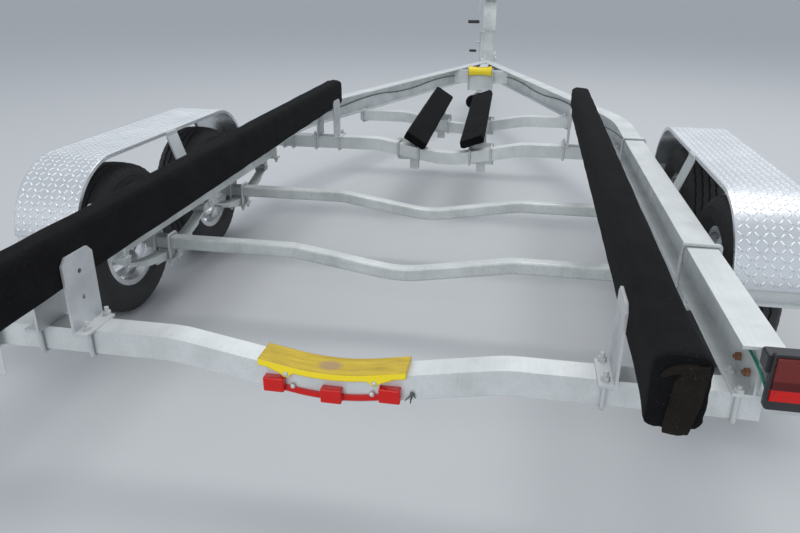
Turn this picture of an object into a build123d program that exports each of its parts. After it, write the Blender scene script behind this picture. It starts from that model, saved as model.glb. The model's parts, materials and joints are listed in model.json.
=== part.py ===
from build123d import *
import math
import os

os.makedirs("parts", exist_ok=True)

# Tandem-axle boat trailer with bent aluminium beams, bunk boards and a tongue jack.
# Millimetres. X is to the right, Y towards the coupler, Z up from the ground.
# While it is built, Y is measured from the rear ends of the two main beams.

# Main beams: an I section, bent once towards the nose
RAIL_TOP = 555
RAIL_DEPTH = 127
RAIL_WIDTH = 88.9
RAIL_FLANGE = 8
RAIL_WEB = 5.5
RAIL_X = 963.5
RAIL_REAR_Y = -8
RAIL_BEND_Y = 2490
RAIL_BEND_RADIUS = 1500
RAIL_ANGLE = 17.4
RAIL_MITRE_GAP = 2
RAIL_UNDER = RAIL_TOP - RAIL_DEPTH

# Crossmembers: box tubes with a shallow V in the middle
CROSS_HEIGHT = 68
CROSS_DEPTH = 73
CROSS_WALL = 5
V_KINK_X = 420
V_DROP = 76
V_KINK_RADIUS = 400
V_BOTTOM_RADIUS = 600
CROSS_TOP = RAIL_UNDER
REAR_CROSS_Y = 9
REAR_CROSS_REACH = 28.5
FRONT_CROSS_Y = 2503
BOW_CROSS_Y = 3420
BOW_CROSS_SETBACK = 7
CROSS_OVERHANG = 20

# Bolts that clamp the beams to the crossmembers
FRAME_BOLT_RADIUS = 6
FRAME_BOLT_OUT = 1.5
FRAME_BOLT_X = 28
FRAME_BOLT_CLEARANCE = 0.5
FRAME_NUT_ACROSS = 22

# Nose: cross channel, tongue tube and coupler
NOSE_CROSS_SETBACK = 774
NOSE_CROSS_DEPTH = 45
NOSE_CROSS_WALL = 6
TONGUE_WIDTH = 76
TONGUE_WALL = 6
TONGUE_SETBACK = 494
TONGUE_LENGTH = 1400
COUPLER_LENGTH = 270
COUPLER_WALL = 5
BALL_RADIUS = 25.4
BALL_CLEARANCE = 0.6
SOCKET_WALL = 6

# Winch post, winch and bow stop
POST_AHEAD = 216
POST_WIDTH = 102
POST_DEPTH = 76
POST_WALL = 5
POST_HEIGHT = 580
POST_SLEEVE_START = 286
POST_SLEEVE_WALL = 12
POST_BASE_LENGTH = 230
POST_BASE_THICKNESS = 8
WINCH_WIDTH = 120
WINCH_LENGTH = 150
WINCH_HEIGHT = 110
WINCH_PLATE = 4
DRUM_RADIUS = 32
DRUM_FLANGE_RADIUS = 44
DRUM_CLEARANCE = 4
CRANK_X = -102
CRANK_LENGTH = 286
CRANK_GRIP_LENGTH = 115
CRANK_GRIP_RADIUS = 14
CRANK_BAR = 12
HEAD_PLATE_THICKNESS = 8
HEAD_PLATE_REACH = 190
HEAD_PLATE_FRONT = 90
BOW_EAR_LENGTH = 40
BOW_ROLLER_RADIUS = 45
BOW_ROLLER_LENGTH = 90
ROLLER_PIN_RADIUS = 8
ROLLER_PIN_CLEARANCE = 0.08
EAR_THICKNESS = 6
EAR_SIDE_CLEARANCE = 5

# Keel roller at the nose
KEEL_ROLLER_RADIUS = 46
KEEL_ROLLER_WAIST = 36
KEEL_ROLLER_LENGTH = 203
KEEL_ROLLER_SETBACK = 65
KEEL_ROLLER_Z = 549
KEEL_BRACKET_BOTTOM = 372

# Long bunk boards, carpeted, standing on edge and rising a little to the front
BUNK_INNER_X = 673
BUNK_WIDTH = 95
BUNK_HEIGHT = 142
BUNK_BOTTOM = 549
BUNK_RISE_PER_M = 14.7
BUNK_REAR_OVERHANG = 331
BUNK_FRONT_Y = 2690
BUNK_CORNER = 26

# Angle brackets that hold the long bunks
BRACKET_HEIGHT = 208
BRACKET_LENGTH = 126
BRACKET_REAR_SHIFT = -12
BRACKET_FOOT = 42
BRACKET_BOLT_X = 24
BRACKET_THICKNESS = 7
BRACKET_CORNER = 18
BRACKET_HOLE_RADIUS = 7
BRACKET_HOLE_SPACING = 72
BRACKET_TOP_HOLE_DROP = 52
BRACKET_HOLE_COUNT = 2
BUNK_CLEARANCE = 0.4
UBOLT_RADIUS = 6
UBOLT_OUT = 2
UBOLT_BEND = 9
NUT_ACROSS = 19
NUT_HEIGHT = 10
NUT_STICKOUT = 12

# Short bow bunks, each set a little askew on its own post
SHORT_BUNK_WIDTH = 139
SHORT_BUNK_THICKNESS = 46
SHORT_BUNK_REAR_Y = 2460
SHORT_BUNK_FRONT_Y = 3560
SHORT_BUNK_CORNER = 12
# columns: side name, side, tilt, rear middle X and Z, front middle X and Z,
# rear post X and its clamp's middle, front post X and its clamp's middle
SHORT_BUNKS = [
    ("left", -1, 32, -188, 432, -158, 542, (-211, -233), (-165, -165)),
    ("right", 1, 20, 137, 440, 118, 542, (185, 185), (135, 135)),
]
SHORT_POST_SIDE = 50
SHORT_POST_WALL = 5
SHORT_POST_BOTTOM = 240
SHORT_CLAMP_THICKNESS = 6
SHORT_CLAMP_BOLT_SPACING = 120
SHORT_CLAMP_LIP = 4
SHORT_CLAMP_MARGIN = 14
SHORT_CLAMP_GAP = 2

# Axles, wheels and springs
AXLE_REAR_Y = 975
AXLE_SPACING = 750
AXLE_TUBE = 51
AXLE_CORNER = 9
AXLE_END_GAP = 50.5
AXLE_DROP = 68.4
AXLE_KINK_RADIUS = 300
AXLE_BOTTOM_RADIUS = 500
SPINDLE_RADIUS = 17
SPINDLE_CLEARANCE = 0.08
TYRE_RADIUS = 305
TYRE_WIDTH = 177
TYRE_MIDDLE_X = 1174
TREAD_WIDTH = 128
TREAD_CROWN = 7
SHOULDER_DROP = 22
RIM_RADIUS = 178
RIM_FLANGE_RADIUS = 192
RIM_FLANGE_WIDTH = 131
RIM_WALL = 7
RIM_WELL_RADIUS = 160
RIM_DISC_X = 34
RIM_DISC_THICKNESS = 22
SPOKE_COUNT = 5
SPOKE_WINDOW_INNER = 74
SPOKE_WINDOW_OUTER = 143
SPOKE_WIDTH = 44
HUB_RADIUS = 58
HUB_LENGTH = 82
HUB_FLANGE_RADIUS = 72
HUB_CAP_RADIUS = 27
HUB_CAP_LENGTH = 44
LUG_CIRCLE_RADIUS = 57.15
LUG_RADIUS = 10
LUG_HEIGHT = 20
SPRING_HALF_LENGTH = 320
SPRING_RADIUS = 860
SPRING_SHORTEN = 0.22
SPRING_SEAT = 6
SPRING_WIDTH = 45
SPRING_LEAF = 8
SPRING_LEAVES = 4
SPRING_EYE_RADIUS = 15
SPRING_EYE_BORE = 7
SPRING_PLATE = 8
SPRING_PLATE_MARGIN = 22
SPRING_BOLT_MARGIN = 8
SPRING_PIN_CLEARANCE = 0.2
PIN_HEAD_RADIUS = 11
PIN_HEAD = 7
EQUALISER_THICKNESS = 5
EQUALISER_PIN_RISE = 12
HANGER_THICKNESS = 6
SUBFRAME_HEIGHT = 45
SUBFRAME_WIDTH = 74
SUBFRAME_WALL = 6
SUBFRAME_END = 28
RAIL_UBOLT_RADIUS = 6.5
RAIL_UBOLT_Y_REAR = 605
RAIL_UBOLT_Y_FRONT = 2137

# Fenders: rolled tread plate over both wheels of a side
FENDER_INNER_X = 1055
FENDER_OUTER_X = 1295
FENDER_TOP = 686
FENDER_BOTTOM = 446
FENDER_REAR_Y = 566
FENDER_FRONT_Y = 2048
FENDER_RADIUS = 270
FENDER_SHEET = 3
FENDER_LIP = 14
BRACE_Y = 1290
BRACE_WIDTH = 86
BRACE_THICKNESS = 6
BRACE_GAP = 1
END_BAR_TOP = 462
END_BAR_BOTTOM = 406
END_BAR_LIP = 26
END_BAR_GAP = 2
END_BAR_SET = 4.4

# Lamps and the guide pad on the rear crossmember
LAMP_INNER_X = 965
LAMP_WIDTH = 171
LAMP_HEIGHT = 132
LAMP_DEPTH = 48
LAMP_Z = 435
LAMP_LENS_INSET = 7
LAMP_LENS_FOOT = 22
LAMP_FRAME_DEPTH = 14
LAMP_BODY_OUT = 8
LAMP_BODY_BOTTOM = 518
LAMP_BODY_TOP = 560
LAMP_LENS_DEPTH = 9
LAMP_LENS_GAP = 0.3
LAMP_CORNER = 10
LAMP_BODY_CORNER = 6
LAMP_GAP = 20
LAMP_PLATE = 5
LAMP_PLATE_GAP = 0.2
LAMP_PLATE_TOP = 514
LAMP_PLATE_BOTTOM = 474
LAMP_PLATE_REACH = 95
LAMP_LEG_BOTTOM = 448
LAMP_LEG_LENGTH = 150
LAMP_BOLT_YS = [41, 114]
LAMP_BOLT_Z = 465
LAMP_BOLT_RADIUS = 5
LAMP_ARM_HEIGHT = 41
LAMP_ARM_DEPTH = 40
LAMP_ARM_INSIDE = 56
LAMP_ARM_OUTSIDE = 138
PAD_HALF = 188
PAD_THICKNESS = 14
PAD_SKIRT = 3
PAD_SHEET = 12
PAD_TAB_XS = [-117, 109.5]
# columns: distance below the crossmember's top, half width of a bolt tab there
PAD_TAB = [(-4, 46), (4, 26), (10, 13), (16, 8), (18.5, 5)]
MARKER_X = 148
MARKER_WIDTH = 54
MARKER_HEIGHT = 40
MARKER_CORNER = 4
MARKER_DEPTH = 22
MARKER_STRIP_HEIGHT = 16
MARKER_STRIP_DEPTH = 6
MARKER_LIFT = 3

# Blank number plate below the left lamp, on two tabs
PLATE_INNER_X = 912
PLATE_WIDTH = 305
PLATE_HEIGHT = 152
PLATE_SHEET = 2
PLATE_GAP = 8
PLATE_Y = -12
PLATE_TAB_WIDTH = 38
PLATE_TAB_HEIGHT = 30
PLATE_TAB_INSET = 39
PLATE_CORNER = 10

# Lamp wires, clipped to the inner sides of the beams
WIRE_RADIUS = 3
WIRE_BEND_SHARE = 0.45
# columns: X, Y and Z of the right wire's points, from the lamp to the nose
WIRE_POINTS = [
    (983, -43.2, 452),
    (977, -24, 463),
    (949, -14, 531),
    (953, 1200, 537),
    (954, 2440, 512),
    (864, 3000, 478),
    (677, 3600, 524),
    (520, 4100, 478),
    (332, 4700, 518),
    (234, 5018, 496),
]

# Tongue jack with a swivel caster
JACK_X = -95
JACK_SETBACK = 300
JACK_PIVOT_Z = 492
JACK_TUBE_RADIUS = 26
JACK_TUBE_WALL = 3
JACK_TUBE_BOTTOM = 250
JACK_TUBE_TOP = 797
JACK_LEG_CLEARANCE = 0.08
JACK_LEG_TOP = 600
JACK_DISC_GAP = 2
JACK_WHEEL_RADIUS = 80
JACK_WHEEL_WIDTH = 46
JACK_FORK_PLATE = 4
JACK_FORK_GAP = 5
JACK_FORK_TOP = 178
JACK_CASTER_TRAIL = 28
JACK_CRANK_Z = 690
JACK_CRANK_DROP = 90
JACK_CRANK_OFFSET = 30
JACK_GRIP_LENGTH = 75
JACK_GRIP_RADIUS = 11
JACK_PIN_RADIUS = 7

# Derived places
RAIL_TURN = math.radians(RAIL_ANGLE)
RAIL_BEND_END_X = RAIL_X - RAIL_BEND_RADIUS * (1 - math.cos(RAIL_TURN))
RAIL_BEND_END_Y = RAIL_BEND_Y + RAIL_BEND_RADIUS * math.sin(RAIL_TURN)
RAIL_TIP_Y = RAIL_BEND_END_Y + RAIL_BEND_END_X / math.tan(RAIL_TURN)
NOSE_CROSS_Y = RAIL_TIP_Y - NOSE_CROSS_SETBACK
KEEL_ROLLER_Y = NOSE_CROSS_Y - KEEL_ROLLER_SETBACK
TONGUE_REAR_Y = RAIL_TIP_Y - TONGUE_SETBACK
TONGUE_FRONT_Y = TONGUE_REAR_Y + TONGUE_LENGTH
POST_Y = RAIL_TIP_Y + POST_AHEAD
JACK_Y = TONGUE_FRONT_Y - JACK_SETBACK
WHEEL_Z = TYRE_RADIUS
FENDER_FOOT = min(FENDER_BOTTOM, FENDER_TOP - FENDER_RADIUS) - FENDER_SHEET
AXLE_TUBE_HALF = TYRE_MIDDLE_X - TYRE_WIDTH / 2 - AXLE_END_GAP
AXLE_YS = [AXLE_REAR_Y, AXLE_REAR_Y + AXLE_SPACING]
AXLE_MIDDLE_Y = AXLE_REAR_Y + AXLE_SPACING / 2
COUPLER_TIP_Y = TONGUE_FRONT_Y + COUPLER_LENGTH
HEAD_PLATE_Z = RAIL_TOP - RAIL_FLANGE + POST_HEIGHT
JACK_LEG_RADIUS = JACK_TUBE_RADIUS - JACK_TUBE_WALL - JACK_LEG_CLEARANCE
SPRING_TOP = WHEEL_Z - AXLE_TUBE / 2 - SPRING_SEAT
SPRING_EYE_OFFSET = SPRING_EYE_RADIUS - SPRING_LEAF / 2
SPRING_EYE_ANGLE = math.asin(SPRING_HALF_LENGTH / (SPRING_RADIUS - SPRING_EYE_OFFSET))
SPRING_EYE_Z = SPRING_TOP + SPRING_RADIUS - (SPRING_RADIUS - SPRING_EYE_OFFSET) * math.cos(SPRING_EYE_ANGLE)
MIDDLE_Y = (COUPLER_TIP_Y - BUNK_REAR_OVERHANG) / 2


def save(name, shape):
    """Write one piece, moved so that the origin is below the middle of the length."""
    moved = Pos(0, -MIDDLE_Y, 0) * shape
    moved.label = name
    export_step(moved, "parts/" + name + ".step")


def block(x0, x1, y0, y1, z0, z1):
    """A box between two corners."""
    size = Box(abs(x1 - x0), abs(y1 - y0), abs(z1 - z0))
    return Pos((x0 + x1) / 2, (y0 + y1) / 2, (z0 + z1) / 2) * size


def rod_x(x0, x1, y, z, radius):
    """A round bar along X."""
    bar = Rot(0, 90, 0) * Cylinder(radius, abs(x1 - x0))
    return Pos((x0 + x1) / 2, y, z) * bar


def rod_y(x, y0, y1, z, radius):
    """A round bar along Y."""
    bar = Rot(90, 0, 0) * Cylinder(radius, abs(y1 - y0))
    return Pos(x, (y0 + y1) / 2, z) * bar


def rod_z(x, y, z0, z1, radius):
    """A round bar along Z."""
    return Pos(x, y, (z0 + z1) / 2) * Cylinder(radius, abs(z1 - z0))


def bent_rod(points, radius, bend):
    """A round bar along straight runs with equal bends."""
    path = FilletPolyline(*points, radius=bend)
    return sweep(Plane(origin=path @ 0, z_dir=path % 0) * Circle(radius), path=path)


def hex_nut(x, y, z, direction, across=NUT_ACROSS):
    """A hexagonal nut standing on a face, its height along the direction."""
    plane = Plane(origin=(x, y, z), z_dir=direction)
    return extrude(plane * RegularPolygon(across / 2, 6, major_radius=False), amount=NUT_HEIGHT)


def mirrored(shape):
    """The same piece on the other side of the centreline."""
    return mirror(shape, about=Plane.YZ)


def both(shape):
    """A piece and its mirror image."""
    return [shape, mirrored(shape)]


def group(shapes):
    """Separate solids that share a node."""
    solids = []
    for shape in shapes:
        solids.extend(shape.solids())
    return Compound(children=solids)


def plate_yz(points, x0, x1):
    """A plate drawn as (Y, Z) points, between two X planes."""
    outline = Polyline(*[(x0, y, z) for y, z in points], close=True)
    return extrude(make_face(outline), amount=x1 - x0, dir=(1, 0, 0))


def rail_line_x(y):
    """X of the beam's middle on its slanted stretch."""
    return RAIL_BEND_END_X - (y - RAIL_BEND_END_Y) * math.tan(RAIL_TURN)


def rail_middle_x(y):
    """X of the beam's middle anywhere along it."""
    if y <= RAIL_BEND_Y:
        return RAIL_X
    if y >= RAIL_BEND_END_Y:
        return rail_line_x(y)
    run = y - RAIL_BEND_Y
    return RAIL_X - RAIL_BEND_RADIUS + math.sqrt(RAIL_BEND_RADIUS**2 - run**2)


def frame_bolt_places():
    """Both legs, as X and Y, of each U-bolt on the right side that holds a crossmember to the beam."""
    out = FRAME_BOLT_OUT + FRAME_BOLT_RADIUS
    # columns: crossmember's Y, sides of the beam that have bolts
    rows = [
        (REAR_CROSS_Y, (-1,)),
        (FRONT_CROSS_Y, (-1, 1)),
        (BOW_CROSS_Y, (-1,)),
    ]
    places = []
    for cross_y, sides in rows:
        for side in sides:
            legs = []
            for y in (cross_y - out, cross_y + CROSS_DEPTH + out):
                legs.append((rail_middle_x(y) + side * FRAME_BOLT_X, y))
            places.append(legs)
    return places


def rail_strip(half_width, x_cut, z0, z1):
    """The beam's plan at one half width, cut at a plane beside the centreline."""
    theta = RAIL_TURN
    centre_x = RAIL_X - RAIL_BEND_RADIUS
    edges = []
    ends = []
    for side in (1, -1):
        radius = RAIL_BEND_RADIUS + side * half_width
        start = (RAIL_X + side * half_width, RAIL_REAR_Y, z0)
        bend = (RAIL_X + side * half_width, RAIL_BEND_Y, z0)
        middle = (centre_x + radius * math.cos(theta / 2), RAIL_BEND_Y + radius * math.sin(theta / 2), z0)
        leave = (centre_x + radius * math.cos(theta), RAIL_BEND_Y + radius * math.sin(theta), z0)
        reach = (leave[0] - x_cut) / math.tan(theta)
        tip = (x_cut, leave[1] + reach, z0)
        edges.append(Line(start, bend))
        edges.append(ThreePointArc(bend, middle, leave))
        edges.append(Line(leave, tip))
        ends.append((start, tip))
    edges.append(Line(ends[0][0], ends[1][0]))
    edges.append(Line(ends[0][1], ends[1][1]))
    return extrude(make_face(edges), amount=z1 - z0, dir=(0, 0, 1))


def make_rail():
    """One I beam, for the right side."""
    half = RAIL_WIDTH / 2
    cut = RAIL_MITRE_GAP / 2
    top = rail_strip(half, cut, RAIL_TOP - RAIL_FLANGE, RAIL_TOP)
    bottom = rail_strip(half, cut, RAIL_UNDER, RAIL_UNDER + RAIL_FLANGE)
    web = rail_strip(RAIL_WEB / 2, TONGUE_WIDTH / 2, RAIL_UNDER, RAIL_TOP)
    hole = FRAME_BOLT_RADIUS + FRAME_BOLT_CLEARANCE
    for legs in frame_bolt_places():
        for x, y in legs:
            bottom -= rod_z(x, y, RAIL_UNDER - 1, RAIL_UNDER + RAIL_FLANGE + 1, hole)
    web_hole = LAMP_BOLT_RADIUS + FRAME_BOLT_CLEARANCE
    for y in LAMP_BOLT_YS:
        web -= rod_x(RAIL_X - RAIL_WEB, RAIL_X + RAIL_WEB, y, LAMP_BOLT_Z, web_hole)
    return top + web + bottom


def make_frame_ubolt(rear, front):
    """A U-bolt round a crossmember, with its nuts on the beam's lower flange."""
    r = FRAME_BOLT_RADIUS
    under = CROSS_TOP - CROSS_HEIGHT - UBOLT_OUT / 2 - r
    flange_top = RAIL_UNDER + RAIL_FLANGE
    end = flange_top + NUT_HEIGHT + NUT_STICKOUT / 2
    points = [(*rear, end), (*rear, under), (*front, under), (*front, end)]
    piece = bent_rod(points, r, UBOLT_BEND)
    for x, y in (rear, front):
        piece += hex_nut(x, y, flange_top, (0, 0, 1), FRAME_NUT_ACROSS)
    return piece


def v_curve(half, drop, kink, z, kink_radius, bottom_radius, y):
    """The line of a tube with a rounded V in its middle."""
    points = [(-half, y, z), (-kink, y, z), (0, y, z - drop), (kink, y, z), (half, y, z)]
    return FilletPolyline(*points, radius=[kink_radius, bottom_radius, kink_radius])


def v_band(half, z_top, height, y0, y1):
    """A solid bar with the V of the crossmembers."""
    top = v_curve(half, V_DROP, V_KINK_X, z_top, V_KINK_RADIUS, V_BOTTOM_RADIUS, y0)
    bottom = Pos(0, 0, -height) * top
    left = Line((-half, y0, z_top), (-half, y0, z_top - height))
    right = Line((half, y0, z_top), (half, y0, z_top - height))
    face = make_face(top.edges() + bottom.edges() + [left, right])
    return extrude(face, amount=y1 - y0, dir=(0, 1, 0))


def v_top_z(x):
    """Height of a crossmember's top between the kinks of its V."""
    slope = math.atan2(V_DROP, V_KINK_X)
    if abs(x) > V_BOTTOM_RADIUS * math.sin(slope):
        return CROSS_TOP - (V_KINK_X - abs(x)) * math.tan(slope)
    centre = CROSS_TOP - V_DROP + V_BOTTOM_RADIUS / math.cos(slope)
    return centre - math.sqrt(V_BOTTOM_RADIUS**2 - x**2)


def make_crossmember(y, half):
    """A hollow V tube, open at its ends."""
    outer = v_band(half, CROSS_TOP, CROSS_HEIGHT, y, y + CROSS_DEPTH)
    inner_height = CROSS_HEIGHT - 2 * CROSS_WALL
    inner = v_band(half, CROSS_TOP - CROSS_WALL, inner_height, y + CROSS_WALL, y + CROSS_DEPTH - CROSS_WALL)
    return outer - inner


def make_nose_cross():
    """The channel between the beam webs near the nose, with the keel roller's bracket."""
    y0 = NOSE_CROSS_Y
    y1 = NOSE_CROSS_Y + NOSE_CROSS_DEPTH
    web_offset = RAIL_WEB / 2 / math.cos(RAIL_TURN)
    z0 = RAIL_UNDER + RAIL_FLANGE
    z1 = RAIL_TOP - RAIL_FLANGE
    x0 = rail_line_x(y0) - web_offset
    x1 = rail_line_x(y1) - web_offset
    plan = Polyline((-x0, y0, z0), (x0, y0, z0), (x1, y1, z0), (-x1, y1, z0), close=True)
    solid = extrude(make_face(plan), amount=z1 - z0, dir=(0, 0, 1))
    wall = NOSE_CROSS_WALL
    hollow = block(-x0, x0, y0 + wall, y1 + wall, z0 + wall, z1 - wall)
    channel = solid - hollow
    ear_x = KEEL_ROLLER_LENGTH / 2 + EAR_SIDE_CLEARANCE
    ear_top = KEEL_ROLLER_Z + ROLLER_PIN_RADIUS + 14
    ear_rear = KEEL_ROLLER_Y - ROLLER_PIN_RADIUS - 14
    ear_points = [
        (y0, KEEL_BRACKET_BOTTOM),
        (y0, ear_top),
        (ear_rear, ear_top),
        (ear_rear, KEEL_ROLLER_Z - 40),
        (y0 - 40, KEEL_BRACKET_BOTTOM),
    ]
    back = block(-ear_x, ear_x, y0 - EAR_THICKNESS, y0, KEEL_BRACKET_BOTTOM, z1 - wall)
    bracket = back
    for side in (1, -1):
        ear = plate_yz(ear_points, side * ear_x, side * (ear_x + EAR_THICKNESS))
        bracket += ear
    pin_half = ear_x + EAR_THICKNESS + 8
    pin = rod_x(-pin_half, pin_half, KEEL_ROLLER_Y, KEEL_ROLLER_Z, ROLLER_PIN_RADIUS)
    bracket += pin
    return channel + bracket


def make_roller(length, radius, waist, y, z):
    """A waisted roller on a pin along X."""
    hub = ROLLER_PIN_RADIUS + ROLLER_PIN_CLEARANCE
    half = length / 2
    outer = ThreePointArc((-half, 0, radius), (0, 0, waist), (half, 0, radius))
    sides = [
        Line((half, 0, radius), (half, 0, hub)),
        Line((half, 0, hub), (-half, 0, hub)),
        Line((-half, 0, hub), (-half, 0, radius)),
    ]
    body = revolve(make_face([outer] + sides), axis=Axis.X, revolution_arc=360)
    return Pos(0, y, z) * body


def make_tongue():
    """The tongue tube, held between the beams' flanges."""
    z0 = RAIL_UNDER + RAIL_FLANGE
    z1 = RAIL_TOP - RAIL_FLANGE
    half = TONGUE_WIDTH / 2
    outer = block(-half, half, TONGUE_REAR_Y, TONGUE_FRONT_Y, z0, z1)
    wall = TONGUE_WALL
    inner = block(-half + wall, half - wall, TONGUE_REAR_Y, TONGUE_FRONT_Y, z0 + wall, z1 - wall)
    return outer - inner


def make_coupler():
    """A ball coupler: a channel over the tongue's end, a socket and a latch."""
    half = TONGUE_WIDTH / 2
    wall = COUPLER_WALL
    z_top = RAIL_TOP - RAIL_FLANGE
    socket = BALL_RADIUS + BALL_CLEARANCE
    outer_radius = socket + SOCKET_WALL
    ball_z = z_top - 26
    ball_y = COUPLER_TIP_Y - outer_radius
    grip_start = TONGUE_FRONT_Y - 150
    cap = block(-half - wall, half + wall, grip_start, TONGUE_FRONT_Y + 5, z_top, z_top + wall)
    grip_end = TONGUE_FRONT_Y + 5
    for side in (1, -1):
        cap += block(side * half, side * (half + wall), grip_start, grip_end, z_top - 70, z_top + wall)
    neck_points = [
        (-half - wall, TONGUE_FRONT_Y + 5, 0),
        (half + wall, TONGUE_FRONT_Y + 5, 0),
        (outer_radius, ball_y, 0),
        (-outer_radius, ball_y, 0),
    ]
    neck_face = make_face(Polyline(*neck_points, close=True))
    neck = Pos(0, 0, z_top - 60) * extrude(neck_face, amount=60 + wall, dir=(0, 0, 1))
    neck_hollow_points = [
        (-half + 6, TONGUE_FRONT_Y + 12, 0),
        (half - 6, TONGUE_FRONT_Y + 12, 0),
        (socket - 4, ball_y - socket - 10, 0),
        (-socket + 4, ball_y - socket - 10, 0),
    ]
    hollow_face = make_face(Polyline(*neck_hollow_points, close=True))
    neck -= Pos(0, 0, z_top - 60) * extrude(hollow_face, amount=60 - 6, dir=(0, 0, 1))
    dome = Pos(0, ball_y, ball_z) * Sphere(outer_radius)
    skirt = rod_z(0, ball_y, z_top - 60, ball_z, outer_radius)
    body = neck + dome + skirt
    body -= Pos(0, ball_y, ball_z) * Sphere(socket)
    body -= rod_z(0, ball_y, z_top - 61, ball_z, socket)
    latch_y = TONGUE_FRONT_Y + 60
    latch_base = block(-13, 13, latch_y - 32, latch_y + 32, z_top + wall, z_top + wall + 22)
    lever_points = [
        (latch_y + 30, z_top + wall + 18),
        (latch_y + 30, z_top + wall + 34),
        (latch_y - 95, z_top + wall + 52),
        (latch_y - 95, z_top + wall + 42),
    ]
    lever = plate_yz(lever_points, -11, 11)
    return cap + body + latch_base + lever


def make_winch_post():
    """The post with its base saddle and the upper sleeve."""
    z0 = RAIL_TOP - RAIL_FLANGE
    z1 = z0 + POST_HEIGHT
    half = POST_WIDTH / 2
    y0 = POST_Y - POST_DEPTH / 2
    y1 = POST_Y + POST_DEPTH / 2
    tube = block(-half, half, y0, y1, z0, z1)
    wall = POST_WALL
    tube -= block(-half + wall, half - wall, y0 + wall, y1 - wall, z0 + POST_BASE_THICKNESS, z1)
    sleeve_z = z0 + POST_SLEEVE_START
    s = POST_SLEEVE_WALL
    sleeve = block(-half - s, half + s, y0 - s, y1 + s, sleeve_z, z1 - 20)
    sleeve -= block(-half, half, y0, y1, sleeve_z, z1 - 20)
    base_y0 = y0 - 10
    base_y1 = base_y0 + POST_BASE_LENGTH
    base = block(-half, half, base_y0, base_y1, z0, z0 + POST_BASE_THICKNESS)
    gusset_points = [(y1, z0 + 8), (base_y1 - 10, z0 + 8), (y1, z0 + 110)]
    post = tube + sleeve + base
    for side in (1, -1):
        post += plate_yz(gusset_points, side * (half - 6), side * half)
    return post


def winch_z():
    """Height of the winch's drum axis."""
    return HEAD_PLATE_Z + HEAD_PLATE_THICKNESS + WINCH_PLATE + DRUM_CLEARANCE + DRUM_FLANGE_RADIUS


def make_winch():
    """Frame plates, drum and crank, on the head plate."""
    z_base = HEAD_PLATE_Z + HEAD_PLATE_THICKNESS
    z_axis = winch_z()
    half = WINCH_WIDTH / 2
    y0 = POST_Y - WINCH_LENGTH / 2
    y1 = POST_Y + WINCH_LENGTH / 2
    t = WINCH_PLATE
    frame = block(-half, half, y0, y1, z_base, z_base + t)
    side_points = [
        (y0, z_base),
        (y1, z_base),
        (y1, z_base + WINCH_HEIGHT * 0.55),
        (POST_Y + 30, z_base + WINCH_HEIGHT),
        (POST_Y - 30, z_base + WINCH_HEIGHT),
        (y0, z_base + WINCH_HEIGHT * 0.55),
    ]
    for side in (1, -1):
        frame += plate_yz(side_points, side * (half - t), side * half)
    drum = rod_x(-half + t, half - t, POST_Y, z_axis, DRUM_RADIUS)
    for side in (1, -1):
        drum += rod_x(side * (half - t - 6), side * (half - t - 2), POST_Y, z_axis, DRUM_FLANGE_RADIUS)
    arm_half = CRANK_BAR / 2
    shaft = rod_x(CRANK_X, half, POST_Y, z_axis, arm_half + 2)
    arm = block(CRANK_X - arm_half, CRANK_X, POST_Y - 11, POST_Y + 11, z_axis - CRANK_LENGTH, z_axis + 12)
    grip_z = z_axis - CRANK_LENGTH + CRANK_GRIP_RADIUS
    grip = rod_x(CRANK_X - CRANK_GRIP_LENGTH, CRANK_X, POST_Y, grip_z, CRANK_GRIP_RADIUS)
    return frame + drum + shaft + arm + grip


def bow_roller_place():
    """Y and Z of the bow roller's pin."""
    y = POST_Y - POST_DEPTH / 2 - POST_SLEEVE_WALL - HEAD_PLATE_REACH + BOW_EAR_LENGTH / 2
    z = HEAD_PLATE_Z + HEAD_PLATE_THICKNESS + EAR_SIDE_CLEARANCE + BOW_ROLLER_RADIUS
    return y, z


def make_bow_stop():
    """The head plate on the post, with the bow roller's ears and pin at its rear end."""
    pin_y, pin_z = bow_roller_place()
    ear_x = BOW_ROLLER_LENGTH / 2 + EAR_SIDE_CLEARANCE
    half = ear_x + EAR_THICKNESS
    z0 = HEAD_PLATE_Z
    z1 = HEAD_PLATE_Z + HEAD_PLATE_THICKNESS
    stop = block(-half, half, pin_y - BOW_EAR_LENGTH / 2, POST_Y + HEAD_PLATE_FRONT, z0, z1)
    for side in (1, -1):
        ear_y0 = pin_y - BOW_EAR_LENGTH / 2
        ear_top = pin_z + BOW_EAR_LENGTH / 2
        stop += block(side * ear_x, side * half, ear_y0, ear_y0 + BOW_EAR_LENGTH, z0, ear_top)
    stop += rod_x(-half - 8, half + 8, pin_y, pin_z, ROLLER_PIN_RADIUS)
    return stop


def make_bunk():
    """A long bunk for the right side, rising to the front."""
    y0 = -BUNK_REAR_OVERHANG
    y1 = BUNK_FRONT_Y
    rise = BUNK_RISE_PER_M / 1000
    z0 = BUNK_BOTTOM + rise * y0
    z1 = BUNK_BOTTOM + rise * y1
    points = [(y0, z0), (y1, z1), (y1, z1 + BUNK_HEIGHT), (y0, z0 + BUNK_HEIGHT)]
    x0 = BUNK_INNER_X
    bunk = plate_yz(points, x0, x0 + BUNK_WIDTH)
    return fillet(bunk.edges().filter_by(lambda e: e.length > BUNK_HEIGHT * 2), BUNK_CORNER)


def bunk_z(y):
    """Height of a long bunk's underside."""
    return BUNK_BOTTOM + BUNK_RISE_PER_M / 1000 * y


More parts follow.
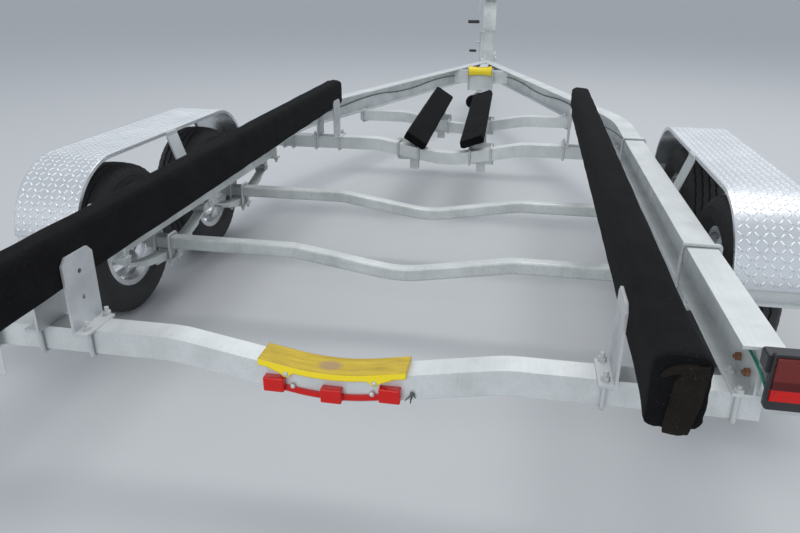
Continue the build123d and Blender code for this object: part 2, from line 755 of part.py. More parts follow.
def make_bracket(cross_y, shift, face_x, away, z_top):
    """An angle beside a bunk; away is +1 or -1, the side that its foot points to."""
    middle = cross_y + CROSS_DEPTH / 2 + shift
    y0 = middle - BRACKET_LENGTH / 2
    y1 = middle + BRACKET_LENGTH / 2
    z0 = CROSS_TOP
    c = BRACKET_CORNER
    x_near = face_x + away * BUNK_CLEARANCE
    x_far = x_near + away * BRACKET_THICKNESS
    points = [(y0, z0), (y1, z0), (y1, z_top - c), (y1 - c, z_top), (y0 + c, z_top), (y0, z_top - c)]
    angle = plate_yz(points, x_near, x_far)
    foot_end = x_near + away * BRACKET_FOOT
    angle += block(x_near, foot_end, y0, y1, z0, z0 + BRACKET_THICKNESS)
    for row in range(BRACKET_HOLE_COUNT):
        hole_z = z_top - BRACKET_TOP_HOLE_DROP - row * BRACKET_HOLE_SPACING
        angle -= rod_x(x_near - away, x_far + away, middle, hole_z, BRACKET_HOLE_RADIUS)
    bolt_x = x_near + away * BRACKET_BOLT_X
    leg_rear = cross_y - UBOLT_OUT - UBOLT_RADIUS
    leg_front = cross_y + CROSS_DEPTH + UBOLT_OUT + UBOLT_RADIUS
    under = CROSS_TOP - CROSS_HEIGHT - UBOLT_OUT / 2 - UBOLT_RADIUS
    foot_top = z0 + BRACKET_THICKNESS
    end = foot_top + NUT_HEIGHT + NUT_STICKOUT
    points = [
        (bolt_x, leg_rear, end),
        (bolt_x, leg_rear, under),
        (bolt_x, leg_front, under),
        (bolt_x, leg_front, end),
    ]
    angle += bent_rod(points, UBOLT_RADIUS, UBOLT_BEND)
    for leg in (leg_rear, leg_front):
        angle += hex_nut(bolt_x, leg, foot_top, (0, 0, 1))
    return angle


def make_bunk_brackets(cross_y, shift):
    """The four angles on one crossmember."""
    z_top = CROSS_TOP + BRACKET_HEIGHT
    inner = make_bracket(cross_y, shift, BUNK_INNER_X, -1, z_top)
    outer = make_bracket(cross_y, shift, BUNK_INNER_X + BUNK_WIDTH, 1, z_top)
    return both(inner) + both(outer)


def short_bunk_axis(side, tilt, rear, front):
    """Start and end of a short bunk's middle line, and the direction across it."""
    start = Vector(rear[0], SHORT_BUNK_REAR_Y, rear[1])
    end = Vector(front[0], SHORT_BUNK_FRONT_Y, front[1])
    lean = math.radians(tilt) * side
    return start, end, Vector(math.cos(lean), 0, math.sin(lean))


def make_short_bunk(axis):
    """A short carpeted board, tilted towards the centreline."""
    start, end, across = axis
    run = end - start
    plane = Plane(origin=start, x_dir=across, z_dir=run.normalized())
    section = plane * RectangleRounded(SHORT_BUNK_WIDTH, SHORT_BUNK_THICKNESS, SHORT_BUNK_CORNER)
    return extrude(section, amount=run.length)


def make_short_post(axis, place, cross_y):
    """A square post at the front face of a crossmember, clamped by two U-bolts."""
    post_x, clamp_x = place
    half = SHORT_POST_SIDE / 2
    y1 = cross_y + CROSS_DEPTH
    y2 = y1 + SHORT_CLAMP_THICKNESS
    y3 = y2 + SHORT_POST_SIDE
    top = RAIL_TOP + SHORT_BUNK_WIDTH
    post = block(post_x - half, post_x + half, y2, y3, SHORT_POST_BOTTOM, top)
    wall = SHORT_POST_WALL
    inner = half - wall
    post -= block(post_x - inner, post_x + inner, y2 + wall, y3 - wall, SHORT_POST_BOTTOM, top)
    start, end, across = axis
    run = end - start
    plane = Plane(origin=start, x_dir=across, z_dir=run.normalized())
    above = Rectangle(SHORT_BUNK_WIDTH * 6, SHORT_BUNK_WIDTH * 6)
    shift = SHORT_BUNK_THICKNESS / 2 - SHORT_BUNK_WIDTH * 3
    reach = run.length * 1.2
    post -= extrude(plane * Pos(0, shift) * above, amount=reach)
    spacing = SHORT_CLAMP_BOLT_SPACING / 2
    tops = [v_top_z(clamp_x - spacing), v_top_z(clamp_x + spacing)]
    margin = UBOLT_OUT + 2 * UBOLT_RADIUS + SHORT_CLAMP_LIP
    plate_z0 = min(tops) - CROSS_HEIGHT - margin
    plate_z1 = max(tops) + margin
    half_plate = spacing + SHORT_CLAMP_MARGIN
    clamp = block(clamp_x - half_plate, clamp_x + half_plate, y1, y2, plate_z0, plate_z1)
    post += clamp - extrude(plane * Pos(0, shift + SHORT_CLAMP_GAP) * above, amount=reach)
    rear = cross_y - UBOLT_OUT / 2 - UBOLT_RADIUS
    end = y2 + NUT_HEIGHT + NUT_STICKOUT
    for side_x in (-1, 1):
        x = clamp_x + side_x * spacing
        high = v_top_z(x) + UBOLT_OUT + UBOLT_RADIUS
        low = v_top_z(x) - CROSS_HEIGHT - UBOLT_OUT - UBOLT_RADIUS
        points = [(x, end, low), (x, rear, low), (x, rear, high), (x, end, high)]
        post += bent_rod(points, UBOLT_RADIUS, UBOLT_BEND)
        for z in (low, high):
            post += hex_nut(x, y2, z, (0, 1, 0))
    return post


def axle_curve():
    """The axle tube's middle line."""
    half = AXLE_TUBE_HALF
    return v_curve(half, AXLE_DROP, V_KINK_X, WHEEL_Z, AXLE_KINK_RADIUS, AXLE_BOTTOM_RADIUS, 0)


def make_axle(y):
    """A square tube with the same V as the crossmembers, and its spindles."""
    path = axle_curve()
    plane = Plane(origin=path @ 0, x_dir=(0, 1, 0), z_dir=(1, 0, 0))
    section = plane * RectangleRounded(AXLE_TUBE, AXLE_TUBE, AXLE_CORNER)
    tube = sweep(section, path=path)
    axle = tube
    tip = TYRE_MIDDLE_X + 18
    for side in (1, -1):
        axle += rod_x(side * (AXLE_TUBE_HALF - 5), side * tip, 0, WHEEL_Z, SPINDLE_RADIUS)
    return Pos(0, y, 0) * axle


def make_tyre():
    """A tyre about the X axis, at the origin."""
    half = TYRE_WIDTH / 2
    tread = TREAD_WIDTH / 2
    bead = RIM_FLANGE_WIDTH / 2 - RIM_WALL
    flange_top = RIM_FLANGE_RADIUS + 2
    crown = TYRE_RADIUS
    edge = TYRE_RADIUS - TREAD_CROWN
    shoulder = TYRE_RADIUS - SHOULDER_DROP - TREAD_CROWN
    widest = (TYRE_RADIUS + flange_top) / 2
    outer = [
        ThreePointArc((-tread, 0, edge), (0, 0, crown), (tread, 0, edge)),
        Line((tread, 0, edge), (half - 6, 0, shoulder)),
        ThreePointArc((half - 6, 0, shoulder), (half, 0, widest), (bead, 0, flange_top)),
        Line((bead, 0, flange_top), (bead, 0, RIM_RADIUS)),
        Line((bead, 0, RIM_RADIUS), (-bead, 0, RIM_RADIUS)),
        Line((-bead, 0, RIM_RADIUS), (-bead, 0, flange_top)),
        ThreePointArc((-bead, 0, flange_top), (-half, 0, widest), (-half + 6, 0, shoulder)),
        Line((-half + 6, 0, shoulder), (-tread, 0, edge)),
    ]
    return revolve(make_face(outer), axis=Axis.X, revolution_arc=360)


def make_rim():
    """A five-spoke alloy rim with its hub, cap and wheel nuts; +X is outboard."""
    half = RIM_FLANGE_WIDTH / 2
    wall = RIM_WALL
    seat = RIM_RADIUS
    barrel_points = [
        (-half, RIM_FLANGE_RADIUS),
        (-half + wall, RIM_FLANGE_RADIUS),
        (-half + wall, seat),
        (-22, seat),
        (-12, RIM_WELL_RADIUS + wall),
        (24, RIM_WELL_RADIUS + wall),
        (34, seat),
        (half - wall, seat),
        (half - wall, RIM_FLANGE_RADIUS),
        (half, RIM_FLANGE_RADIUS),
        (half, seat - wall),
        (40, seat - wall),
        (30, RIM_WELL_RADIUS),
        (-16, RIM_WELL_RADIUS),
        (-26, seat - wall),
        (-half, seat - wall),
    ]
    outline = Polyline(*[(x, 0, r) for x, r in barrel_points], close=True)
    barrel = revolve(make_face(outline), axis=Axis.X, revolution_arc=360)
    disc_x0 = RIM_DISC_X - RIM_DISC_THICKNESS
    disc = rod_x(disc_x0, RIM_DISC_X, 0, 0, RIM_WELL_RADIUS + wall / 2)
    for index in range(SPOKE_COUNT):
        turn = 360 / SPOKE_COUNT * (index + 0.5)
        gap = 360 / SPOKE_COUNT / 2
        inner_half = SPOKE_WINDOW_INNER * math.tan(math.radians(gap)) - SPOKE_WIDTH / 2
        outer_half = SPOKE_WINDOW_OUTER * math.sin(math.radians(gap)) - SPOKE_WIDTH / 2
        window_points = [
            (0, -inner_half, SPOKE_WINDOW_INNER),
            (0, inner_half, SPOKE_WINDOW_INNER),
            (0, outer_half, SPOKE_WINDOW_OUTER),
            (0, -outer_half, SPOKE_WINDOW_OUTER),
        ]
        window_face = make_face(Polyline(*window_points, close=True))
        window = Pos(disc_x0 - 2, 0, 0) * extrude(window_face, amount=RIM_DISC_THICKNESS + 4, dir=(1, 0, 0))
        disc -= Rot(turn, 0, 0) * window
    hub_x0 = disc_x0 - HUB_LENGTH + 20
    hub = rod_x(hub_x0, disc_x0 + 2, 0, 0, HUB_RADIUS * 0.72)
    hub += rod_x(disc_x0 - 12, disc_x0 + 1, 0, 0, HUB_FLANGE_RADIUS)
    cap = rod_x(RIM_DISC_X - 2, RIM_DISC_X + HUB_CAP_LENGTH, 0, 0, HUB_CAP_RADIUS)
    rim = barrel + disc + hub + cap
    for index in range(SPOKE_COUNT):
        turn = 360 / SPOKE_COUNT * index
        nut = rod_x(RIM_DISC_X - 1, RIM_DISC_X + LUG_HEIGHT, 0, LUG_CIRCLE_RADIUS, LUG_RADIUS)
        rim += Rot(turn, 0, 0) * nut
    bore_x1 = 18 + 3
    rim -= rod_x(hub_x0 - 1, bore_x1, 0, 0, SPINDLE_RADIUS + SPINDLE_CLEARANCE)
    return rim


def place_wheel(shape, side, y):
    """A wheel piece on its axle; the left one is a mirror image."""
    turned = shape if side > 0 else mirrored(shape)
    return Pos(side * TYRE_MIDDLE_X, y, WHEEL_Z) * turned


def arc_leaf(y_middle, half, inner_radius, x0, x1):
    """One curved leaf about the spring's centre of curvature, lowest in its middle."""
    z_centre = SPRING_TOP + SPRING_RADIUS
    angle = math.asin(half / SPRING_RADIUS)
    arcs = []
    ends = []
    for radius in (inner_radius, inner_radius + SPRING_LEAF):
        rear = (x0, y_middle - radius * math.sin(angle), z_centre - radius * math.cos(angle))
        front = (x0, y_middle + radius * math.sin(angle), z_centre - radius * math.cos(angle))
        arcs.append(ThreePointArc(rear, (x0, y_middle, z_centre - radius), front))
        ends.append((rear, front))
    arcs.append(Line(ends[0][0], ends[1][0]))
    arcs.append(Line(ends[0][1], ends[1][1]))
    return extrude(make_face(arcs), amount=x1 - x0, dir=(1, 0, 0))


def make_springs():
    """Both leaf springs of the right side, each with its axle seat and U-bolts."""
    x0 = RAIL_X - SPRING_WIDTH / 2
    x1 = RAIL_X + SPRING_WIDTH / 2
    plate_z = SPRING_TOP - SPRING_LEAF * SPRING_LEAVES
    over = WHEEL_Z + AXLE_TUBE / 2 + UBOLT_RADIUS + BUNK_CLEARANCE
    reach = AXLE_TUBE / 2 + UBOLT_RADIUS + BUNK_CLEARANCE
    pack = []
    for y in AXLE_YS:
        spring = block(x0, x1, y - AXLE_TUBE / 2, y + AXLE_TUBE / 2, SPRING_TOP - 4, SPRING_TOP + SPRING_SEAT)
        for leaf in range(SPRING_LEAVES):
            half = SPRING_HALF_LENGTH * (1 - SPRING_SHORTEN * leaf)
            spring += arc_leaf(y, half, SPRING_RADIUS + SPRING_LEAF * leaf, x0, x1)
        for end in (-1, 1):
            spring += rod_x(x0, x1, y + end * SPRING_HALF_LENGTH, SPRING_EYE_Z, SPRING_EYE_RADIUS)
        for end in (-1, 1):
            spring -= rod_x(x0, x1, y + end * SPRING_HALF_LENGTH, SPRING_EYE_Z, SPRING_EYE_BORE)
        margin = SPRING_PLATE_MARGIN
        y0 = y - 2 * margin
        y1 = y + 2 * margin
        spring += block(x0 - margin, x1 + margin, y0, y1, plate_z - SPRING_PLATE, plate_z + 1)
        end = plate_z - SPRING_PLATE - NUT_HEIGHT - NUT_STICKOUT
        for bolt_x in (x0 - SPRING_BOLT_MARGIN, x1 + SPRING_BOLT_MARGIN):
            points = [
                (bolt_x, y - reach, end),
                (bolt_x, y - reach, over),
                (bolt_x, y + reach, over),
                (bolt_x, y + reach, end),
            ]
            spring += bent_rod(points, UBOLT_RADIUS, UBOLT_BEND)
            for leg in (-reach, reach):
                spring += hex_nut(bolt_x, y + leg, plate_z - SPRING_PLATE, (0, 0, -1))
        pack.append(spring)
    return group(pack)


def make_hangers():
    """The sub-frame under the right beam: channel, hangers and the outer spring pins."""
    y_rear = AXLE_YS[0] - SPRING_HALF_LENGTH
    y_front = AXLE_YS[1] + SPRING_HALF_LENGTH
    z1 = RAIL_UNDER
    z0 = RAIL_UNDER - SUBFRAME_HEIGHT
    half = SUBFRAME_WIDTH / 2
    wall = SUBFRAME_WALL
    start = FENDER_REAR_Y - SUBFRAME_END / 2
    end = RAIL_UBOLT_Y_FRONT + SUBFRAME_END
    frame = block(RAIL_X - half, RAIL_X + half, start, end, z0, z1)
    frame -= block(RAIL_X - half + wall, RAIL_X + half - wall, start, end, z0, z1 - wall)
    pin_z = SPRING_EYE_Z + EQUALISER_PIN_RISE
    # columns: Y, half width at the top, distance from the spring's side, height of the pin
    rows = [
        (y_rear, 20, 0, SPRING_EYE_Z),
        (AXLE_MIDDLE_Y, 44, EQUALISER_THICKNESS, pin_z),
        (y_front, 20, 0, SPRING_EYE_Z),
    ]
    for y, wide, gap, bolt_z in rows:
        low = bolt_z - 20
        points = [(y - wide, z1 - wall), (y + wide, z1 - wall), (y + 18, low), (y - 18, low)]
        for side in (-1, 1):
            near = RAIL_X + side * (SPRING_WIDTH / 2 + gap)
            frame += plate_yz(points, near, near + side * HANGER_THICKNESS)
        if gap > 0:
            frame -= rod_x(RAIL_X - half, RAIL_X + half, y, bolt_z, SPRING_EYE_BORE)
        else:
            reach = SPRING_WIDTH / 2 + HANGER_THICKNESS
            frame += rod_x(RAIL_X - reach, RAIL_X + reach, y, bolt_z, SPRING_EYE_BORE - SPRING_PIN_CLEARANCE)
            for side in (-1, 1):
                near = RAIL_X + side * reach
                frame += rod_x(near, near + side * PIN_HEAD, y, bolt_z, PIN_HEAD_RADIUS)
    return frame


def make_equaliser():
    """The rocker between the two springs of the right side, with its three pins."""
    pin_z = SPRING_EYE_Z + EQUALISER_PIN_RISE
    ends = (AXLE_YS[0] + SPRING_HALF_LENGTH, AXLE_YS[1] - SPRING_HALF_LENGTH)
    points = [
        (ends[0] - 16, SPRING_EYE_Z - 14),
        (ends[1] + 16, SPRING_EYE_Z - 14),
        (ends[1] + 16, SPRING_EYE_Z + 12),
        (AXLE_MIDDLE_Y + 18, pin_z + 14),
        (AXLE_MIDDLE_Y - 18, pin_z + 14),
        (ends[0] - 16, SPRING_EYE_Z + 12),
    ]
    radius = SPRING_EYE_BORE - SPRING_PIN_CLEARANCE
    near = SPRING_WIDTH / 2
    far = near + EQUALISER_THICKNESS
    outer = far + HANGER_THICKNESS
    rocker = rod_x(RAIL_X - outer, RAIL_X + outer, AXLE_MIDDLE_Y, pin_z, radius)
    for side in (-1, 1):
        rocker += plate_yz(points, RAIL_X + side * near, RAIL_X + side * far)
        head = RAIL_X + side * outer
        rocker += rod_x(head, head + side * PIN_HEAD, AXLE_MIDDLE_Y, pin_z, PIN_HEAD_RADIUS)
    for y in ends:
        rocker += rod_x(RAIL_X - far - PIN_HEAD / 2, RAIL_X + far + PIN_HEAD / 2, y, SPRING_EYE_Z, radius)
    return rocker


def make_rail_ubolt(y):
    """A square U-bolt over the right beam, with a plate and nuts below the sub-frame."""
    r = RAIL_UBOLT_RADIUS
    reach = RAIL_WIDTH / 2 + r + UBOLT_OUT
    plate_top = RAIL_UNDER - SUBFRAME_HEIGHT
    plate_low = plate_top - SPRING_PLATE
    end = plate_low - NUT_HEIGHT - NUT_STICKOUT
    over = RAIL_TOP + r + BUNK_CLEARANCE
    points = [
        (RAIL_X - reach, y, end),
        (RAIL_X - reach, y, over),
        (RAIL_X + reach, y, over),
        (RAIL_X + reach, y, end),
    ]
    bolt = bent_rod(points, r, UBOLT_BEND)
    bolt += block(RAIL_X - reach - 14, RAIL_X + reach + 14, y - 20, y + 20, plate_low, plate_top)
    for side in (-1, 1):
        bolt += hex_nut(RAIL_X + side * reach, y, plate_low, (0, 0, -1))
    return bolt


def fender_curve(inset, x):
    """The fender's side outline, moved inwards by inset."""
    r = FENDER_RADIUS - inset
    y0 = FENDER_REAR_Y + inset
    y1 = FENDER_FRONT_Y - inset
    z_top = FENDER_TOP - inset
    z_arc = FENDER_TOP - FENDER_RADIUS
    k = math.sqrt(0.5)
    rear_c = FENDER_REAR_Y + FENDER_RADIUS
    front_c = FENDER_FRONT_Y - FENDER_RADIUS
    return [
        Line((x, y0, FENDER_FOOT), (x, y0, z_arc)),
        ThreePointArc((x, y0, z_arc), (x, rear_c - r * k, z_arc + r * k), (x, rear_c, z_top)),
        Line((x, rear_c, z_top), (x, front_c, z_top)),
        ThreePointArc((x, front_c, z_top), (x, front_c + r * k, z_arc + r * k), (x, y1, z_arc)),
        Line((x, y1, z_arc), (x, y1, FENDER_FOOT)),
    ]


def fender_band(inset, x0, x1):
    """The sheet between the outline and the same outline moved inwards."""
    outer = fender_curve(0, x0)
    inner = fender_curve(inset, x0)
    rear = Line((x0, FENDER_REAR_Y, FENDER_FOOT), (x0, FENDER_REAR_Y + inset, FENDER_FOOT))
    front = Line((x0, FENDER_FRONT_Y, FENDER_FOOT), (x0, FENDER_FRONT_Y - inset, FENDER_FOOT))
    band = extrude(make_face(outer + inner + [rear, front]), amount=x1 - x0, dir=(1, 0, 0))
    return band - block(x0 - 1, x1 + 1, FENDER_REAR_Y - 1, FENDER_FRONT_Y + 1, FENDER_FOOT - 1, FENDER_BOTTOM)


def make_fender():
    """One tread plate fender for the right side, with folded lips."""
    sheet = fender_band(FENDER_SHEET, FENDER_INNER_X, FENDER_OUTER_X)
    inner_lip = fender_band(FENDER_LIP, FENDER_INNER_X, FENDER_INNER_X + FENDER_SHEET)
    outer_lip = fender_band(FENDER_LIP, FENDER_OUTER_X - FENDER_SHEET, FENDER_OUTER_X)
    for y, direction in ((FENDER_REAR_Y, 1), (FENDER_FRONT_Y, -1)):
        ya = y + direction * FENDER_SHEET
        yb = ya + direction * (END_BAR_SET + BRACE_THICKNESS + BRACE_GAP)
        room_top = END_BAR_TOP + BRACE_GAP
        room = block(FENDER_INNER_X - 1, FENDER_OUTER_X + 1, ya, yb, FENDER_BOTTOM - 1, room_top)
        inner_lip -= room
        outer_lip -= room
    return sheet + inner_lip + outer_lip


def make_braces():
    """The strap from the lip down past the beam, and an angle bar at both ends, for the right side."""
    rail_edge = RAIL_X + RAIL_WIDTH / 2
    frame_edge = RAIL_X + SUBFRAME_WIDTH / 2
    t = BRACE_THICKNESS
    near = rail_edge + BRACE_GAP
    y0 = BRACE_Y - BRACE_WIDTH / 2
    lip_low = FENDER_TOP - FENDER_LIP
    low = RAIL_UNDER - SUBFRAME_HEIGHT
    points = [
        (near, low),
        (near, RAIL_TOP - t),
        (FENDER_INNER_X - t, lip_low - t),
        (FENDER_INNER_X - t, FENDER_TOP - FENDER_SHEET),
        (FENDER_INNER_X, FENDER_TOP - FENDER_SHEET),
        (FENDER_INNER_X, lip_low - 2 * t),
        (near + t, RAIL_TOP - 2 * t),
        (near + t, low),
    ]
    outline = Polyline(*[(x, y0, z) for x, z in points], close=True)
    strap = extrude(make_face(outline), amount=BRACE_WIDTH, dir=(0, 1, 0))
    strap += block(frame_edge, near, y0, y0 + BRACE_WIDTH, low, RAIL_UNDER - BRACE_GAP)
    pieces = [strap]
    x0 = rail_edge + END_BAR_GAP
    x1 = FENDER_OUTER_X - FENDER_SHEET
    for y, direction in ((FENDER_REAR_Y, 1), (FENDER_FRONT_Y, -1)):
        ya = y + direction * (FENDER_SHEET + END_BAR_SET)
        yb = ya + direction * t
        bar = block(x0, x1, ya, yb, END_BAR_BOTTOM, END_BAR_TOP)
        bar += block(x0, x1, ya - direction * END_BAR_LIP, yb, END_BAR_BOTTOM, END_BAR_BOTTOM + t)
        bar += block(frame_edge, x0, ya, yb, END_BAR_BOTTOM, RAIL_UNDER - BRACE_GAP)
        pieces.append(bar)
    return pieces


def make_lamp_housing():
    """The right tail lamp's housing: a frame round the lens, and a body behind its upper part."""
    x0 = LAMP_INNER_X
    x1 = LAMP_INNER_X + LAMP_WIDTH
    y1 = REAR_CROSS_Y - LAMP_GAP
    y0 = y1 - LAMP_DEPTH
    z1 = LAMP_Z + LAMP_HEIGHT
    front = block(x0, x1, y0, y0 + LAMP_FRAME_DEPTH, LAMP_Z, z1)
    front = fillet(front.edges().filter_by(Axis.Y), LAMP_CORNER)
    i = LAMP_LENS_INSET
    front -= block(x0 + i, x1 - i, y0, y0 + LAMP_LENS_DEPTH, LAMP_Z + LAMP_LENS_FOOT, z1 - i)
    body = block(x0 - LAMP_BODY_OUT, x1 - i, y0 + LAMP_LENS_DEPTH, y1, LAMP_BODY_BOTTOM, LAMP_BODY_TOP)
    body = fillet(body.edges().filter_by(Axis.Y), LAMP_BODY_CORNER)
    return front + body


def make_lamp_bracket():
    """The right lamp's angle, which is bolted to the beam's web."""
    x0 = RAIL_X + RAIL_WEB / 2 + LAMP_PLATE_GAP
    y0 = REAR_CROSS_Y - LAMP_GAP + LAMP_PLATE_GAP
    leg = block(x0, x0 + LAMP_PLATE, y0, y0 + LAMP_LEG_LENGTH, LAMP_LEG_BOTTOM, LAMP_PLATE_TOP)
    plate = block(x0, x0 + LAMP_PLATE_REACH, y0, y0 + LAMP_PLATE, LAMP_PLATE_BOTTOM, LAMP_PLATE_TOP)
    bracket = leg + plate
    for y in LAMP_BOLT_YS:
        bracket -= rod_x(x0 - 1, x0 + LAMP_PLATE + 1, y, LAMP_BOLT_Z, LAMP_BOLT_RADIUS + FRAME_BOLT_CLEARANCE)
    return bracket


def make_lamp_bolt(y):
    """A bolt through the right beam's web and the lamp's angle."""
    inner = RAIL_X - RAIL_WEB / 2
    outer = RAIL_X + RAIL_WEB / 2 + LAMP_PLATE_GAP + LAMP_PLATE
    bolt = rod_x(inner - NUT_HEIGHT - NUT_STICKOUT / 2, outer + NUT_HEIGHT, y, LAMP_BOLT_Z, LAMP_BOLT_RADIUS)
    bolt += hex_nut(inner, y, LAMP_BOLT_Z, (-1, 0, 0))
    bolt += hex_nut(outer, y, LAMP_BOLT_Z, (1, 0, 0))
    return bolt


def make_lamp_arm():
    """An angle held in the crossmember's open end, which reaches out under the right lamp."""
    end = RAIL_X + REAR_CROSS_REACH
    y0 = REAR_CROSS_Y + CROSS_WALL + LAMP_PLATE_GAP
    z1 = CROSS_TOP - CROSS_WALL - LAMP_PLATE_GAP
    x0 = end - LAMP_ARM_INSIDE
    x1 = end + LAMP_ARM_OUTSIDE
    upright = block(x0, x1, y0, y0 + LAMP_PLATE, z1 - LAMP_ARM_HEIGHT, z1)
    ledge = block(x0, x1, y0, y0 + LAMP_ARM_DEPTH, z1 - LAMP_PLATE, z1)
    return upright + ledge


def make_lamp_lens():
    """The right lamp's lens, standing a little out of its housing."""
    i = LAMP_LENS_INSET + LAMP_LENS_GAP
    x0 = LAMP_INNER_X + i
    x1 = LAMP_INNER_X + LAMP_WIDTH - i
    y1 = REAR_CROSS_Y - LAMP_GAP - LAMP_DEPTH + LAMP_LENS_DEPTH
    y0 = y1 - LAMP_LENS_DEPTH - 6
    z0 = LAMP_Z + LAMP_LENS_FOOT + LAMP_LENS_GAP
    lens = block(x0, x1, y0, y1, z0, LAMP_Z + LAMP_HEIGHT - i)
    return fillet(lens.edges().group_by(Axis.Y)[0], 4)


def make_keel_pad():
    """The urethane cap over the rear crossmember's V, with a skirt and two bolt tabs behind it."""
    y0 = REAR_CROSS_Y - PAD_SHEET
    y1 = REAR_CROSS_Y + CROSS_DEPTH
    long_half = 2 * V_KINK_X
    upper = v_band(long_half, CROSS_TOP + PAD_THICKNESS, PAD_THICKNESS + PAD_SKIRT, y0, y1)
    reach = V_DROP + CROSS_HEIGHT + PAD_THICKNESS
    clip = block(-PAD_HALF, PAD_HALF, y0 - 1, y1 + 1, CROSS_TOP - reach, CROSS_TOP + reach)
    body = upper & clip
    for x in PAD_TAB_XS:
        right = [(x + half, y0, v_top_z(x) - drop) for drop, half in PAD_TAB]
        left = [(x - half, y0, v_top_z(x) - drop) for drop, half in reversed(PAD_TAB)]
        body += extrude(make_face(Polyline(*right, *left, close=True)), amount=PAD_SHEET, dir=(0, 1, 0))
    cut = v_band(long_half, CROSS_TOP, CROSS_HEIGHT + PAD_SKIRT, REAR_CROSS_Y, y1 + 1)
    return body - cut


def make_light_bar():
    """A V strip on the rear face of the rear crossmember, carrying three markers."""
    y1 = REAR_CROSS_Y
    y0 = y1 - MARKER_STRIP_DEPTH
    z_top = CROSS_TOP - CROSS_HEIGHT + MARKER_STRIP_HEIGHT + 6
    strip = v_band(2 * V_KINK_X, z_top, MARKER_STRIP_HEIGHT, y0, y1)
    strip_half = MARKER_X + MARKER_WIDTH / 2
    clip = block(-strip_half, strip_half, y0 - 1, y1 + 1, z_top - V_DROP - CROSS_HEIGHT, z_top)
    bar = strip & clip
    for x in (-MARKER_X, 0, MARKER_X):
        z = v_top_z(x) - CROSS_HEIGHT + MARKER_LIFT
        x0 = x - MARKER_WIDTH / 2
        marker = block(x0, x0 + MARKER_WIDTH, y1 - MARKER_DEPTH, y1, z, z + MARKER_HEIGHT)
        bar += fillet(marker.edges().filter_by(Axis.Y) + marker.edges().group_by(Axis.Y)[0], MARKER_CORNER)
    return bar


def make_number_plate():
    """A blank plate on a tab, under the left lamp."""
    x1 = -PLATE_INNER_X
    x0 = x1 - PLATE_WIDTH
    z1 = LAMP_Z - PLATE_GAP
    z0 = z1 - PLATE_HEIGHT
    y0 = PLATE_Y
    y1 = PLATE_Y + PLATE_SHEET
    plate = block(x0, x1, y0, y1, z0, z1)
    plate = fillet(plate.edges().filter_by(Axis.Y), PLATE_CORNER)
    tab_x1 = x1 - PLATE_TAB_INSET
    tab_z1 = CROSS_TOP - PLATE_GAP
    plate += block(tab_x1 - PLATE_TAB_WIDTH, tab_x1, y0, REAR_CROSS_Y, tab_z1 - PLATE_TAB_HEIGHT, tab_z1)
    return plate


def wire_bends(points):
    """The largest radius that the two runs at each corner have room for."""
    bends = []
    for before, corner, after in zip(points, points[1:], points[2:]):
        run_in = Vector(*corner) - Vector(*before)
        run_out = Vector(*after) - Vector(*corner)
        turn = math.radians(run_in.get_angle(run_out))
        bends.append(WIRE_BEND_SHARE * min(run_in.length, run_out.length) / math.tan(turn / 2))
    return bends


def make_wire(name, points):
    """A round lamp wire along straight runs joined by bends."""
    bends = wire_bends(points)
    path = FilletPolyline(*points, radius=bends)
    radii = [round(edge.radius, 1) for edge in path.edges().filter_by(GeomType.CIRCLE)]
    print("wire", name, "length", round(path.length), "bend radii", radii)
    return sweep(Plane(origin=path @ 0, z_dir=path % 0) * Circle(WIRE_RADIUS), path=path)


def make_jack_mount():
    """The pivot plate on the tongue's left side."""
    side_x = -TONGUE_WIDTH / 2
    disc_end = JACK_X + JACK_TUBE_RADIUS + 13 + JACK_DISC_GAP
    plate = block(side_x, side_x - 8, JACK_Y - 60, JACK_Y + 60, RAIL_UNDER + 6, RAIL_TOP - 6)
    disc = rod_x(side_x - 8, disc_end, JACK_Y, JACK_PIVOT_Z, 46)
    return plate + disc


def make_jack_tube():
    """Outer tube, pivot disc, cap and side crank."""
    tube = rod_z(JACK_X, JACK_Y, JACK_TUBE_BOTTOM, JACK_TUBE_TOP, JACK_TUBE_RADIUS)
    disc = rod_x(JACK_X, JACK_X + JACK_TUBE_RADIUS + 13, JACK_Y, JACK_PIVOT_Z, 42)
    cap = rod_z(JACK_X, JACK_Y, JACK_TUBE_TOP - 8, JACK_TUBE_TOP + 4, JACK_TUBE_RADIUS + 3)
    shaft_x = JACK_X - JACK_TUBE_RADIUS - JACK_CRANK_OFFSET
    shaft = rod_x(shaft_x, JACK_X, JACK_Y, JACK_CRANK_Z, 9)
    grip_z = JACK_CRANK_Z - JACK_CRANK_DROP
    arm = block(shaft_x - 6, shaft_x, JACK_Y - 9, JACK_Y + 9, grip_z - 9, JACK_CRANK_Z + 12)
    grip = rod_x(shaft_x - JACK_GRIP_LENGTH, shaft_x, JACK_Y, grip_z, JACK_GRIP_RADIUS)
    body = tube + disc + cap + shaft + arm + grip
    bore_radius = JACK_TUBE_RADIUS - JACK_TUBE_WALL
    body -= rod_z(JACK_X, JACK_Y, JACK_TUBE_BOTTOM - 1, JACK_CRANK_Z - 30, bore_radius)
    return body


def make_jack_leg():
    """The inner tube that slides in the jack."""
    leg = rod_z(JACK_X, JACK_Y, JACK_FORK_TOP + 6, JACK_LEG_TOP, JACK_LEG_RADIUS)
    collar = rod_z(JACK_X, JACK_Y, JACK_FORK_TOP + 1, JACK_FORK_TOP + 16, JACK_TUBE_RADIUS + 6)
    return leg + collar


